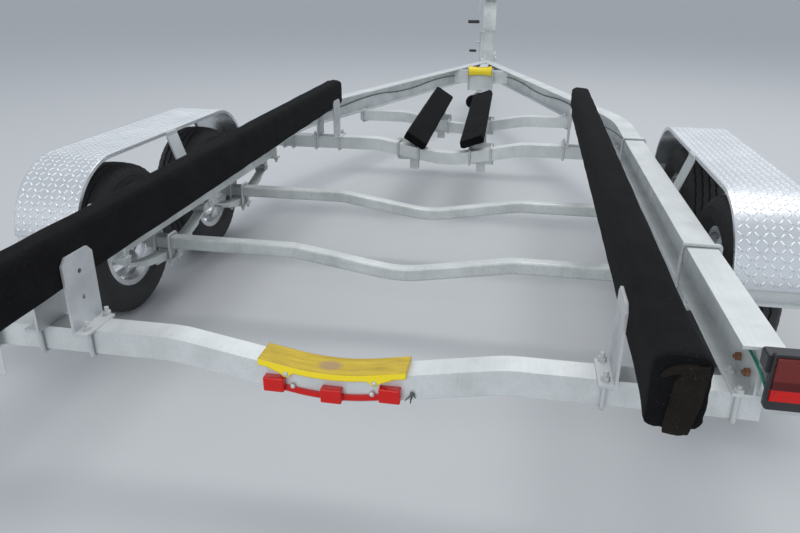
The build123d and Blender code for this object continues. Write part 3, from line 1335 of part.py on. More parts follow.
def make_jack_fork():
    """The caster's fork, with its wheel pin behind the leg."""
    half = JACK_WHEEL_WIDTH / 2 + JACK_FORK_GAP
    t = JACK_FORK_PLATE
    pin_y = JACK_Y - JACK_CASTER_TRAIL
    top = JACK_FORK_TOP
    fork = block(JACK_X - half - t, JACK_X + half + t, JACK_Y - 40, JACK_Y + 34, top - t - 4, top)
    for side in (-1, 1):
        x0 = JACK_X + side * half
        points = [
            (JACK_Y - 40, top - 2),
            (JACK_Y + 34, top - 2),
            (pin_y + 16, JACK_WHEEL_RADIUS - 14),
            (pin_y - 16, JACK_WHEEL_RADIUS - 14),
        ]
        fork += plate_yz(points, x0, x0 + side * t)
    pin_half = half + t + 8
    fork += rod_x(JACK_X - pin_half, JACK_X + pin_half, pin_y, JACK_WHEEL_RADIUS, JACK_PIN_RADIUS)
    return fork


def make_jack_wheel():
    """The caster's wheel."""
    wheel = rod_x(-JACK_WHEEL_WIDTH / 2, JACK_WHEEL_WIDTH / 2, 0, 0, JACK_WHEEL_RADIUS)
    wheel = fillet(wheel.edges(), 8)
    wheel -= rod_x(-JACK_WHEEL_WIDTH, JACK_WHEEL_WIDTH, 0, 0, JACK_PIN_RADIUS + ROLLER_PIN_CLEARANCE)
    return Pos(JACK_X, JACK_Y - JACK_CASTER_TRAIL, JACK_WHEEL_RADIUS) * wheel


rail = make_rail()
save("rail_right", rail)
save("rail_left", mirrored(rail))

rear_half = RAIL_X + REAR_CROSS_REACH
front_half = RAIL_X + RAIL_WIDTH / 2 + CROSS_OVERHANG
bow_half = rail_line_x(BOW_CROSS_Y) - BOW_CROSS_SETBACK
save("crossmember_rear", make_crossmember(REAR_CROSS_Y, rear_half))
save("crossmember_front", make_crossmember(FRONT_CROSS_Y, front_half))
save("crossmember_bow", make_crossmember(BOW_CROSS_Y, bow_half))
save("crossmember_nose", make_nose_cross())
save("tongue", make_tongue())
save("coupler", make_coupler())

save("winch_post", make_winch_post())
save("winch", make_winch())
save("bow_stop", make_bow_stop())
bow_y, bow_z = bow_roller_place()
save("bow_roller", make_roller(BOW_ROLLER_LENGTH, BOW_ROLLER_RADIUS, BOW_ROLLER_RADIUS - 12, bow_y, bow_z))
keel_size = (KEEL_ROLLER_LENGTH, KEEL_ROLLER_RADIUS, KEEL_ROLLER_WAIST)
save("keel_roller", make_roller(*keel_size, KEEL_ROLLER_Y, KEEL_ROLLER_Z))

bunk = make_bunk()
save("bunk_right", bunk)
save("bunk_left", mirrored(bunk))
brackets = make_bunk_brackets(REAR_CROSS_Y, BRACKET_REAR_SHIFT)
brackets += make_bunk_brackets(FRONT_CROSS_Y, 0)
save("bunk_brackets", group(brackets))

short_posts = []
for name, side, tilt, x_rear, z_rear, x_front, z_front, rear_post, front_post in SHORT_BUNKS:
    axis = short_bunk_axis(side, tilt, (x_rear, z_rear), (x_front, z_front))
    save("short_bunk_" + name, make_short_bunk(axis))
    short_posts.append(make_short_post(axis, rear_post, FRONT_CROSS_Y))
    short_posts.append(make_short_post(axis, front_post, BOW_CROSS_Y))
save("short_posts", group(short_posts))

for name, y in (("rear", AXLE_YS[0]), ("front", AXLE_YS[1])):
    save("axle_" + name, make_axle(y))

tyre = make_tyre()
rim = make_rim()
for axle_name, y in (("rear", AXLE_YS[0]), ("front", AXLE_YS[1])):
    for side_name, side in (("left", -1), ("right", 1)):
        save("tyre_" + axle_name + "_" + side_name, place_wheel(tyre, side, y))
        save("rim_" + axle_name + "_" + side_name, place_wheel(rim, side, y))

save("springs", group(both(make_springs())))
save("equalisers", group(both(make_equaliser())))
save("hangers", group(both(make_hangers())))

frame_bolts = []
for y in (RAIL_UBOLT_Y_REAR, RAIL_UBOLT_Y_FRONT):
    frame_bolts.extend(both(make_rail_ubolt(y)))
for rear, front in frame_bolt_places():
    frame_bolts.extend(both(make_frame_ubolt(rear, front)))
save("frame_bolts", group(frame_bolts))

fender = make_fender()
save("fender_right", fender)
save("fender_left", mirrored(fender))
braces = group(make_braces())
save("fender_braces", group(both(braces)))

save("lamp_housings", group(both(make_lamp_housing())))
save("lamp_brackets", group(both(make_lamp_bracket()) + both(make_lamp_arm())))
lamp_bolts = []
for y in LAMP_BOLT_YS:
    lamp_bolts.extend(both(make_lamp_bolt(y)))
save("lamp_bolts", group(lamp_bolts))
save("lamp_lenses", group(both(make_lamp_lens())))
save("keel_pad", make_keel_pad())
save("light_bar", make_light_bar())
save("number_plate", make_number_plate())

wire = make_wire("right", WIRE_POINTS)
save("wire_right", wire)
save("wire_left", mirrored(wire))

save("jack_mount", make_jack_mount())
save("jack_tube", make_jack_tube())
save("jack_leg", make_jack_leg())
save("jack_fork", make_jack_fork())
save("jack_wheel", make_jack_wheel())
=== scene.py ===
# %% [markdown]
# A boat trailer on two axles, dressed for its portrait.
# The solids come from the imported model. Each cell gives one finish or one piece
# its real look, and says how else it could have been made.

import json
import math

import bmesh
import bpy
from mathutils import Matrix, Vector


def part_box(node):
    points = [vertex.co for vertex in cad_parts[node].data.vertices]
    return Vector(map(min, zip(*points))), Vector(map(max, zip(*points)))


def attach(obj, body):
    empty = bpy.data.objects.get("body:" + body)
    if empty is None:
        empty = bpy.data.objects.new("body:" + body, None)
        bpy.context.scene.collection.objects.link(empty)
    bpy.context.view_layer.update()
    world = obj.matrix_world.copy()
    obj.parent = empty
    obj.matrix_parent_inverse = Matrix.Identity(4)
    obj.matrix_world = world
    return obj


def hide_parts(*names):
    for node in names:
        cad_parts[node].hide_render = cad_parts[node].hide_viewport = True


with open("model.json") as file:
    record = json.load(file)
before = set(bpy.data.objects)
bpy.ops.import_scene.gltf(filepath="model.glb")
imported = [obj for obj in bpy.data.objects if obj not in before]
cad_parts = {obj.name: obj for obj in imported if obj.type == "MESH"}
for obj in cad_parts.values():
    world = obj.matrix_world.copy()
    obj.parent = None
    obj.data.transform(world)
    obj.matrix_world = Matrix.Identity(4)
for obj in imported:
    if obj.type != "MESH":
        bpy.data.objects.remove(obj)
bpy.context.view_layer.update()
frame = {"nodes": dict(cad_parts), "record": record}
nodes = frame["nodes"]

# %% [markdown]
# The trailer's own measures, in metres, taken from the solids where they give them.
# Everything along the trailer is measured from a line just inside the beams' rear ends.

# %% Measures shared by the pieces
rail_low, rail_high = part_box("rail_right")
BEAM_TAIL = 0.008
REAR = rail_low.y + BEAM_TAIL
RAIL_TOP = rail_high.z
RAIL_UNDER = rail_low.z
SIDES = (("left", -1), ("right", 1))
print("measuring line at", round(REAR, 4), "top", round(RAIL_TOP, 4))


def along(distance):
    """The Y of a distance forward of the measuring line."""
    return REAR + distance


# %% [markdown]
# The camera stands where the photographer stood: behind the trailer, a little right of
# its middle, looking down over the rear crossmember. Its place came from matching known
# lengths, so a shift or a crop isn't needed.

# %% Camera
CAMERA_X = 0.4254
CAMERA_BEHIND = 1.4142
CAMERA_HEIGHT = 1.2665
CAMERA_YAW = 0.1778
CAMERA_PITCH = 0.3901
CAMERA_ROLL = 0.0061
FOCAL_PIXELS = 687.64
PHOTO_WIDTH = 800
SENSOR_WIDTH = 36.0
CAMERA_REACH = 500


def camera_axes():
    """The camera's right, up and forward directions."""
    level_right = Vector((math.cos(CAMERA_YAW), math.sin(CAMERA_YAW), 0))
    level_forward = Vector((-math.sin(CAMERA_YAW), math.cos(CAMERA_YAW), 0))
    up = level_forward * math.sin(CAMERA_PITCH) + Vector((0, 0, math.cos(CAMERA_PITCH)))
    forward = level_forward * math.cos(CAMERA_PITCH) - Vector((0, 0, math.sin(CAMERA_PITCH)))
    right = level_right * math.cos(CAMERA_ROLL) + up * math.sin(CAMERA_ROLL)
    return right, right.cross(forward), forward


camera_data = bpy.data.cameras.new("portrait")
camera_data.sensor_width = SENSOR_WIDTH
camera_data.lens = FOCAL_PIXELS * SENSOR_WIDTH / PHOTO_WIDTH
camera_data.clip_end = CAMERA_REACH
camera = bpy.data.objects.new("portrait", camera_data)
bpy.context.scene.collection.objects.link(camera)
cam_right, cam_up, cam_forward = camera_axes()
turn = Matrix((cam_right, cam_up, -cam_forward)).transposed().to_4x4()
camera.matrix_world = Matrix.Translation((CAMERA_X, along(-CAMERA_BEHIND), CAMERA_HEIGHT)) @ turn
bpy.context.scene.camera = camera
print("lens", round(camera_data.lens, 2), "mm")

# %% [markdown]
# Bright metal shows its surroundings, so the floor and the world are pale and plain. One
# large lamp high over the front lights the faces that look up, and a weaker one behind
# the trailer lights those that face the camera.

# %% Floor, world and lamps
FLOOR_COLOR = (0.50, 0.51, 0.52, 1)
FLOOR_SIZE = 400
WORLD_COLOR = (0.82, 0.88, 0.96, 1)
WORLD_STRENGTH = 0.74
KEY_POWER = 420
FILL_POWER = 190
LAMP_SIZE = 5.0
KEY_PLACE = (1.5, along(4.5), 9.0)
FILL_PLACE = (-1.5, along(-6.0), 3.2)
LAMP_TARGET = (0, along(1.6), 0.4)

scene = bpy.context.scene
scene.view_settings.view_transform = "Standard"
world = bpy.data.worlds.new("studio")
scene.world = world
world.use_nodes = True
backdrop = world.node_tree.nodes["Background"]
backdrop.inputs["Color"].default_value = WORLD_COLOR
backdrop.inputs["Strength"].default_value = WORLD_STRENGTH


def new_material(name):
    """An empty node material with its shader and output."""
    material = bpy.data.materials.new(name)
    material.use_nodes = True
    tree = material.node_tree
    return material, tree, tree.nodes["Principled BSDF"]


floor_material, _, floor_shader = new_material("studio floor")
floor_shader.inputs["Base Color"].default_value = FLOOR_COLOR
floor_shader.inputs["Roughness"].default_value = 0.9
bpy.ops.mesh.primitive_plane_add(size=FLOOR_SIZE)
floor = bpy.context.object
floor.name = "studio_floor"
floor.data.materials.append(floor_material)


def add_lamp(name, place, power):
    """A large square lamp at a place, aimed at the trailer."""
    data = bpy.data.lights.new(name, "AREA")
    data.size = LAMP_SIZE
    data.energy = power
    lamp = bpy.data.objects.new(name, data)
    scene.collection.objects.link(lamp)
    lamp.location = place
    aim = Vector(LAMP_TARGET) - Vector(place)
    lamp.rotation_euler = aim.to_track_quat("-Z", "Y").to_euler()


add_lamp("key lamp", KEY_PLACE, KEY_POWER)
add_lamp("fill lamp", FILL_PLACE, FILL_POWER)

# %% [markdown]
# A material is a tree of nodes. These helpers each add one node, socket or wire, so that
# every finish that follows reads like a short recipe.

# %% Helpers for node trees


def add_socket(group, name, kind, direction, value=None):
    """A named input or output of a node group."""
    socket = group.interface.new_socket(name=name, in_out=direction, socket_type=kind)
    if value is not None:
        socket.default_value = value


def link(tree, source, target):
    """One wire between two sockets."""
    tree.links.new(source, target)


def add_node(tree, kind, **settings):
    """A node with its settings."""
    node = tree.nodes.new(kind)
    for name, value in settings.items():
        setattr(node, name, value)
    return node


def add_noise(tree, vector, scale, detail=3.0, roughness=0.55):
    """A noise texture on a vector."""
    node = add_node(tree, "ShaderNodeTexNoise")
    node.inputs["Scale"].default_value = scale
    node.inputs["Detail"].default_value = detail
    node.inputs["Roughness"].default_value = roughness
    link(tree, vector, node.inputs["Vector"])
    return node.outputs["Fac"]


def add_range(tree, value, low, high, to_low=0.0, to_high=1.0):
    """A clamped map from one range to another."""
    node = add_node(tree, "ShaderNodeMapRange")
    link(tree, value, node.inputs["Value"])
    node.inputs["From Min"].default_value = low
    node.inputs["From Max"].default_value = high
    node.inputs["To Min"].default_value = to_low
    node.inputs["To Max"].default_value = to_high
    return node.outputs["Result"]


def add_math(tree, operation, first, second):
    """One sum, product or comparison of two values or sockets."""
    node = add_node(tree, "ShaderNodeMath", operation=operation)
    for socket, value in zip(node.inputs, (first, second)):
        if hasattr(value, "is_output"):
            link(tree, value, socket)
        else:
            socket.default_value = value
    return node.outputs["Value"]


def stretched(tree, vector, scale, turn=(0, 0, 0)):
    """A vector scaled and turned, so that a noise on it becomes lines."""
    node = add_node(tree, "ShaderNodeMapping")
    node.inputs["Scale"].default_value = scale
    node.inputs["Rotation"].default_value = turn
    link(tree, vector, node.inputs["Vector"])
    return node.outputs["Vector"]


def part_along(tree, vector, axis):
    """The X, Y or Z of a vector."""
    split = add_node(tree, "ShaderNodeSeparateXYZ")
    link(tree, vector, split.inputs["Vector"])
    return split.outputs[axis]


print("materials so far:", len(bpy.data.materials))

# %% [markdown]
# Most of the trailer is bare metal, and bare metal is never even: it has soft blotches,
# fine lines from the rolls or the die, and scratches. One shader group makes these as
# masks, and each metal takes them in its own amounts. Dust lies on what faces up, so the
# same group gives a mask of upward faces as well.

# %% Shader group for uneven metal


def make_metal_group():
    """Blotches, die lines, scratches, stains, speckles and upward faces as masks."""
    group = bpy.data.node_groups.new("uneven metal", "ShaderNodeTree")
    add_socket(group, "Vector", "NodeSocketVector", "INPUT")
    for name in ("Blotch", "Lines", "Scratch", "Stain", "Speckle", "Upward"):
        add_socket(group, name, "NodeSocketFloat", "OUTPUT")
    start = group.nodes.new("NodeGroupInput")
    end = group.nodes.new("NodeGroupOutput")
    vector = start.outputs["Vector"]
    coarse = add_noise(group, vector, 7.0, 4.0)
    link(group, add_range(group, coarse, 0.35, 0.68), end.inputs["Blotch"])
    lines = add_noise(group, stretched(group, vector, (160, 2.5, 160)), 1.0, 2.0)
    link(group, add_range(group, lines, 0.3, 0.7), end.inputs["Lines"])
    scratch = add_noise(group, stretched(group, vector, (300, 9, 300), (0.4, 0.7, 0.5)), 1.0, 1.0)
    link(group, add_range(group, scratch, 0.66, 0.74), end.inputs["Scratch"])
    drip = add_noise(group, stretched(group, vector, (26, 26, 4)), 1.0, 5.0, 0.7)
    link(group, add_range(group, drip, 0.56, 0.78), end.inputs["Stain"])
    speckle = add_noise(group, vector, 260.0, 2.0, 0.6)
    link(group, add_range(group, speckle, 0.56, 0.66), end.inputs["Speckle"])
    normal = add_node(group, "ShaderNodeNewGeometry").outputs["Normal"]
    link(group, add_range(group, part_along(group, normal, "Z"), 0.5, 0.95), end.inputs["Upward"])
    return group


metal_group = make_metal_group()
print("metal group sockets:", len(metal_group.interface.items_tree))

# %% [markdown]
# Extruded beams, rolled plate, galvanised tube and cast wheels differ mainly in how
# bright, how rough and how blotched they are, so one function makes them all. No real
# edge is perfectly sharp: the Bevel node bends the normal near an edge, so that each edge
# catches a thin line of light with no extra faces. A bevel modifier on every piece would
# do the same with far more triangles.

# %% Metals
EDGE_SAMPLES = 4
METAL_EDGE = 0.0015
SPECKLE_COLOR = (0.86, 0.88, 0.88)
STAIN_COLOR = (0.30, 0.27, 0.23)
DUST_COLOR = (0.62, 0.61, 0.58)


def mix_color(tree, factor, first, second):
    """A colour between two colours, by a factor socket."""
    node = add_node(tree, "ShaderNodeMix", data_type="RGBA")
    link(tree, factor, node.inputs["Factor"])
    for socket, value in ((node.inputs["A"], first), (node.inputs["B"], second)):
        if hasattr(value, "is_output"):
            link(tree, value, socket)
        else:
            socket.default_value = value
    return node.outputs["Result"]


def object_vector(tree):
    """The piece's own coordinates."""
    return add_node(tree, "ShaderNodeTexCoord").outputs["Object"]


def shade(color, share):
    """A colour made darker or lighter by a share."""
    return tuple(min(1.0, c * share) for c in color[:3]) + (1,)


def add_relief(tree, shader, height, strength, distance, edge):
    """Small relief from a height socket, over rounded edges."""
    rounded = add_node(tree, "ShaderNodeBevel")
    rounded.samples = EDGE_SAMPLES
    rounded.inputs["Radius"].default_value = edge
    bump = add_node(tree, "ShaderNodeBump")
    bump.inputs["Strength"].default_value = strength
    bump.inputs["Distance"].default_value = distance
    link(tree, height, bump.inputs["Height"])
    link(tree, rounded.outputs["Normal"], bump.inputs["Normal"])
    link(tree, bump.outputs["Normal"], shader.inputs["Normal"])


def make_metal(
        name, light, dark, rough, metallic,
        lines=0.15, dust=0.25, stain=0.25, speckle=0.0, edge=METAL_EDGE):
    """A bare metal with blotches, lines, light scratches, drips and dust."""
    material, tree, shader = new_material(name)
    masks = add_node(tree, "ShaderNodeGroup", node_tree=metal_group)
    link(tree, object_vector(tree), masks.inputs["Vector"])
    color = mix_color(tree, masks.outputs["Blotch"], shade(dark, 1), shade(light, 1))
    layers = (
        ("Lines", lines, shade(dark, 0.6)),
        ("Speckle", speckle, shade(SPECKLE_COLOR, 1)),
        ("Stain", stain, shade(STAIN_COLOR, 1)),
        ("Upward", dust, shade(DUST_COLOR, 1)),
    )
    for mask, most, over in layers:
        amount = add_range(tree, masks.outputs[mask], 0, 1, 0, most)
        color = mix_color(tree, amount, color, over)
    link(tree, color, shader.inputs["Base Color"])
    gloss = add_range(tree, masks.outputs["Blotch"], 0, 1, rough + 0.08, rough - 0.06)
    dull = add_range(tree, masks.outputs["Upward"], 0, 1, 0, rough + 0.1)
    link(tree, add_math(tree, "MAXIMUM", gloss, dull), shader.inputs["Roughness"])
    shader.inputs["Metallic"].default_value = metallic
    add_relief(tree, shader, masks.outputs["Scratch"], 0.25, 0.0004, edge)
    return material


metals = {
    # the grey is the aluminium's own colour; its slight green tint is a painted reflection of grass
    "frame_aluminium": make_metal(
        "frame aluminium", (0.71, 0.745, 0.745), (0.57, 0.60, 0.60), 0.46, 0.5),
    "bracket_aluminium": make_metal(
        "bracket plate", (0.66, 0.68, 0.69), (0.50, 0.52, 0.53), 0.45, 0.55, lines=0.1),
    "tread_plate": make_metal(
        "tread plate", (0.80, 0.82, 0.84), (0.66, 0.68, 0.70), 0.27, 0.9,
        lines=0.05, dust=0.1, stain=0.1, edge=0.006),
    # a lighter, less metallic copy of the plate's metal for the raised lozenges: a painted highlight on
    # their tops
    "tread_mark_painted_highlight": make_metal(
        "tread lozenge painted highlight", (0.92, 0.94, 0.95), (0.84, 0.86, 0.88), 0.34, 0.45,
        lines=0.0, dust=0.0, stain=0.05, edge=0.0),
    "galvanised_steel": make_metal(
        "galvanised steel", (0.62, 0.65, 0.64), (0.46, 0.49, 0.48), 0.5, 0.45,
        lines=0.05, dust=0.2, stain=0.3, speckle=0.45),
    "wheel_alloy": make_metal(
        "wheel alloy", (0.78, 0.79, 0.80), (0.60, 0.61, 0.62), 0.2, 1.0,
        lines=0.03, dust=0.0, stain=0.2),
    "rusty_bolt": make_metal(
        "rusty bolt", (0.30, 0.13, 0.07), (0.17, 0.08, 0.05), 0.8, 0.2,
        lines=0.1, dust=0.0, stain=0.5),
}
print("metals:", sorted(metals))

# %% [markdown]
# Rubber and plastic need only a little unevenness in colour and gloss. Marine carpet is a
# dull black felt: short fibres, flecks of lint and a faint sheen where the light grazes
# it. Hair would give real fibres, at the cost of far more geometry.

# %% Rubber, plastic and carpet
LINT_COLOR = (0.05, 0.05, 0.05, 1)


def make_plain(name, color, rough, edge=0.002):
    """A plain plastic, rubber or webbing, with an uneven gloss and fine grit."""
    material, tree, shader = new_material(name)
    vector = object_vector(tree)
    cloud = add_noise(tree, vector, 12.0, 4.0)
    link(tree, mix_color(tree, cloud, shade(color, 0.7), shade(color, 1.2)), shader.inputs["Base Color"])
    link(tree, add_range(tree, cloud, 0.3, 0.7, rough - 0.06, rough + 0.08), shader.inputs["Roughness"])
    add_relief(tree, shader, add_noise(tree, vector, 900.0, 2.0), 0.12, 0.0003, edge)
    return material


def make_carpet(name, dark, light, worn):
    """Felt with grey lint flecks and a sheen."""
    material, tree, shader = new_material(name)
    vector = object_vector(tree)
    fibre = add_noise(tree, vector, 420.0, 3.0, 0.8)
    patch = add_noise(tree, vector, 9.0, 4.0)
    lint = add_node(tree, "ShaderNodeTexVoronoi", feature="F1")
    lint.inputs["Scale"].default_value = 75.0
    link(tree, vector, lint.inputs["Vector"])
    fleck = add_range(tree, lint.outputs["Distance"], 0.06, 0.12, 0.75, 0.0)
    felt = mix_color(tree, add_range(tree, fibre, 0.35, 0.7), shade(dark, 1), shade(light, 1))
    faded = mix_color(tree, add_range(tree, patch, 0.4, 0.75, 0, 0.5), felt, shade(worn, 1))
    link(tree, mix_color(tree, fleck, faded, LINT_COLOR), shader.inputs["Base Color"])
    shader.inputs["Roughness"].default_value = 0.96
    shader.inputs["Specular IOR Level"].default_value = 0.05
    shader.inputs["Sheen Weight"].default_value = 0.02
    shader.inputs["Sheen Roughness"].default_value = 0.6
    add_relief(tree, shader, fibre, 0.9, 0.0016, 0.002)
    return material


plains = {
    "tyre_rubber": make_plain("tyre rubber", (0.030, 0.030, 0.031), 0.75, 0.001),
    "bunk_carpet": make_carpet(
        "bunk carpet", (0.002, 0.002, 0.0025), (0.009, 0.009, 0.010), (0.013, 0.013, 0.014)),
    "carpet_back": make_carpet(
        "carpet back", (0.004, 0.0035, 0.003), (0.020, 0.017, 0.014), (0.028, 0.023, 0.018)),
    "roller_black": make_plain("roller rubber", (0.025, 0.025, 0.025), 0.5),
    "lamp_black": make_plain("lamp housing", (0.02, 0.02, 0.022), 0.4),
    "wire_black": make_plain("wire jacket", (0.018, 0.018, 0.018), 0.5, 0.0005),
    "strap_webbing": make_plain("strap webbing", (0.42, 0.41, 0.38), 0.8),
    "tie_grey": make_plain("wire tie", (0.07, 0.085, 0.08), 0.5, 0.0005),
}
print("plain finishes:", len(plains))

# %% [markdown]
# The keel pad is urethane, an amber plastic that lets some light in. It is streaked along
# X and stained brown where the keel lands; its rear-facing lip has a painted highlight. The
# stain is a ball-shaped gradient, and a Mapping node puts it in its place.

# %% Urethane of the keel pad
PAD_STAIN_X = -0.012
PAD_STAIN_Y = 0.038
PAD_STAIN_TIGHT = (26.0, 34.0)
AMBER_DARK = (0.42, 0.285, 0.012, 1)
AMBER_LIGHT = (0.66, 0.48, 0.028, 1)
AMBER_SMUDGE = (0.34, 0.24, 0.06, 1)
AMBER_STAIN = (0.36, 0.23, 0.13, 1)
# painted highlight: a brighter amber for faces turned to the rear
AMBER_LIP_PAINTED_HIGHLIGHT = (0.86, 0.68, 0.020, 1)


def make_urethane():
    """Amber plastic with streaks along X, a brown patch and a painted highlight on the rear lip."""
    material, tree, shader = new_material("amber urethane")
    vector = object_vector(tree)
    streak = add_noise(tree, stretched(tree, vector, (3, 60, 60)), 1.0, 4.0, 0.7)
    color = mix_color(tree, add_range(tree, streak, 0.3, 0.7), AMBER_DARK, AMBER_LIGHT)
    smudge = add_noise(tree, vector, 24.0, 4.0, 0.7)
    color = mix_color(tree, add_range(tree, smudge, 0.55, 0.75, 0, 0.35), color, AMBER_SMUDGE)
    tight_x, tight_y = PAD_STAIN_TIGHT
    place = add_node(tree, "ShaderNodeMapping")
    place.inputs["Location"].default_value = (
        -PAD_STAIN_X * tight_x, -along(PAD_STAIN_Y) * tight_y, 0.0)
    place.inputs["Scale"].default_value = (tight_x, tight_y, 0.0)
    link(tree, vector, place.inputs["Vector"])
    ball = add_node(tree, "ShaderNodeTexGradient", gradient_type="SPHERICAL")
    link(tree, place.outputs["Vector"], ball.inputs["Vector"])
    worn = add_range(tree, ball.outputs["Fac"], 0.05, 0.45, 0, 0.8)
    color = mix_color(tree, worn, color, AMBER_STAIN)
    # faces turned to the rear take the brighter amber, a painted highlight on the lip
    normal = add_node(tree, "ShaderNodeNewGeometry").outputs["Normal"]
    lip = add_range(tree, part_along(tree, normal, "Y"), -0.35, -0.8, 0, 1)
    link(tree, mix_color(tree, lip, color, AMBER_LIP_PAINTED_HIGHLIGHT), shader.inputs["Base Color"])
    shader.inputs["Roughness"].default_value = 0.34
    shader.inputs["Subsurface Weight"].default_value = 0.25
    shader.inputs["Subsurface Radius"].default_value = (0.02, 0.012, 0.002)
    shader.inputs["Specular IOR Level"].default_value = 0.3
    shader.inputs["Coat Weight"].default_value = 0.12
    add_relief(tree, shader, streak, 0.35, 0.0010, 0.005)
    return material


urethane = make_urethane()
print("urethane nodes:", len(urethane.node_tree.nodes))

# %% [markdown]
# The lens of a tail lamp is red plastic with fine upright ribs, in three bands: dusty at
# the top, deep in the middle and bright at its foot. The bands come from the height of
# each point, so the solid needs no cuts. After it, each solid takes the finish that the
# model's record names for it.

# %% Lenses, and the finish of each solid
LENS_LOW_TOP = 0.485
LENS_MIDDLE_TOP = 0.506
LENS_BLEND = 0.002


def make_lens(name, dusty, deep, bright):
    """Red lens plastic with fine upright ribs, in three bands: dusty, deep and bright."""
    material, tree, shader = new_material(name)
    vector = object_vector(tree)
    ribs = add_node(tree, "ShaderNodeTexWave", bands_direction="X")
    ribs.inputs["Scale"].default_value = 60.0
    link(tree, vector, ribs.inputs["Vector"])
    height = part_along(tree, vector, "Z")
    low = add_range(tree, height, LENS_LOW_TOP, LENS_LOW_TOP + LENS_BLEND, 1.0, 0.0)
    high = add_range(tree, height, LENS_MIDDLE_TOP, LENS_MIDDLE_TOP + LENS_BLEND, 0.0, 1.0)
    upper = mix_color(tree, high, shade(deep, 1), shade(dusty, 1))
    link(tree, mix_color(tree, low, upper, shade(bright, 1)), shader.inputs["Base Color"])
    shader.inputs["Roughness"].default_value = 0.16
    shader.inputs["Specular IOR Level"].default_value = 0.25
    shader.inputs["Coat Weight"].default_value = 0.2
    shader.inputs["Subsurface Weight"].default_value = 0.1
    add_relief(tree, shader, ribs.outputs["Fac"], 0.25, 0.0008, 0.003)
    return material


lens = make_lens("red lens", (0.15, 0.018, 0.015), (0.080, 0.004, 0.004), (0.55, 0.007, 0.005))
finishes = {**metals, **plains, "urethane_yellow": urethane, "lens_red": lens}
for entry in frame["record"]["subparts"]:
    piece = nodes[entry["node"]]
    piece.data.materials.clear()
    piece.data.materials.append(finishes[entry["material_slot"]])
print("finishes:", len(finishes))

# %% [markdown]
# The pieces that follow are meshes of their own. One helper turns points and faces into a
# clean mesh, one skins a row of rings, one joins several shapes, and the last two hand a
# finished mesh or shape to the body that it rides on.

# %% Mesh helpers
SMOOTH_ANGLE = math.radians(38)


def make_mesh(name, points, faces):
    """A mesh with merged doubles, faces pointing outwards and soft shading."""
    mesh = bpy.data.meshes.new(name)
    mesh.from_pydata([tuple(p) for p in points], [], faces)
    work = bmesh.new()
    work.from_mesh(mesh)
    bmesh.ops.remove_doubles(work, verts=work.verts, dist=0.00002)
    bmesh.ops.recalc_face_normals(work, faces=work.faces)
    work.to_mesh(mesh)
    work.free()
    mesh.shade_smooth()
    mesh.set_sharp_from_angle(angle=SMOOTH_ANGLE)
    return mesh


def skin(rings, closed=False):
    """Points and faces of a tube through rings of equal count, with capped ends unless closed."""
    count = len(rings[0])
    points = [point for ring in rings for point in ring]
    faces = []
    last = len(rings) if closed else len(rings) - 1
    for row in range(last):
        after = (row + 1) % len(rings)
        for index in range(count):
            beside = (index + 1) % count
            near = row * count
            far = after * count
            faces.append((near + index, near + beside, far + beside, far + index))
    if not closed:
        faces.append(tuple(range(count)))
        faces.append(tuple(reversed(range(len(points) - count, len(points)))))
    return points, faces


def add_piece(name, mesh, slot, body="chassis", stands_for=(), finish=None):
    """A finished mesh that rides on a body and may stand for solids."""
    piece = bpy.data.objects.new(name, mesh)
    scene.collection.objects.link(piece)
    mesh.materials.clear()
    mesh.materials.append(finishes[finish or slot])
    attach(piece, body)
    if stands_for:
        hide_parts(*stands_for)
    return piece


def join_parts(parts):
    """Several (points, faces) lists as one."""
    points = []
    faces = []
    for part_points, part_faces in parts:
        offset = len(points)
        points.extend(part_points)
        faces.extend(tuple(index + offset for index in face) for face in part_faces)
    return points, faces


def add_shape(name, shape, slot, body="chassis", stands_for=(), finish=None):
    """A piece made from the (points, faces) of a shape."""
    return add_piece(name, make_mesh(name, *shape), slot, body, stands_for, finish)


print("smoothing angle", round(math.degrees(SMOOTH_ANGLE)), "degrees")

# %% [markdown]
# A bunk is a board wrapped in marine carpet, so its sides bow out a little, its edges are
# soft and the cloth gathers at the ends, where it is folded over. Each is skinned from
# rings of a rounded section, pushed in and out by noise. A cloth simulation would give
# truer folds but a heavier mesh and a slower script.

# %% A board wrapped in carpet
from mathutils import noise

CORNER_STEPS = 5
SECTION_STEP = 0.016
BUNK_SWELL = 0.0018
FOLD_DEPTH = 0.006
FOLD_REACH = 0.10
TUCK_DEPTH = 0.004
END_REACH = 0.22
END_GAP = 0.012
# columns: depth in from the end, and the share by which the section is drawn in
END_STATIONS = ((0.0, 0.42), (0.0, 0.16), (0.002, 0.05), (0.006, 0.015))


def rounded_outline(width, height, corner):
    """Points of a rounded rectangle about the origin, with more points along its straight sides."""
    points = []
    for turn, (sx, sz) in enumerate(((1, 1), (-1, 1), (-1, -1), (1, -1))):
        centre = (sx * (width / 2 - corner), sz * (height / 2 - corner))
        for step in range(CORNER_STEPS + 1):
            angle = math.pi / 2 * (turn + step / CORNER_STEPS)
            points.append((centre[0] + corner * math.cos(angle), centre[1] + corner * math.sin(angle)))
    full = []
    for index, point in enumerate(points):
        after = points[(index + 1) % len(points)]
        gap = math.dist(point, after)
        count = max(1, round(gap / SECTION_STEP))
        for step in range(count):
            share = step / count
            full.append((point[0] + (after[0] - point[0]) * share, point[1] + (after[1] - point[1]) * share))
    return full


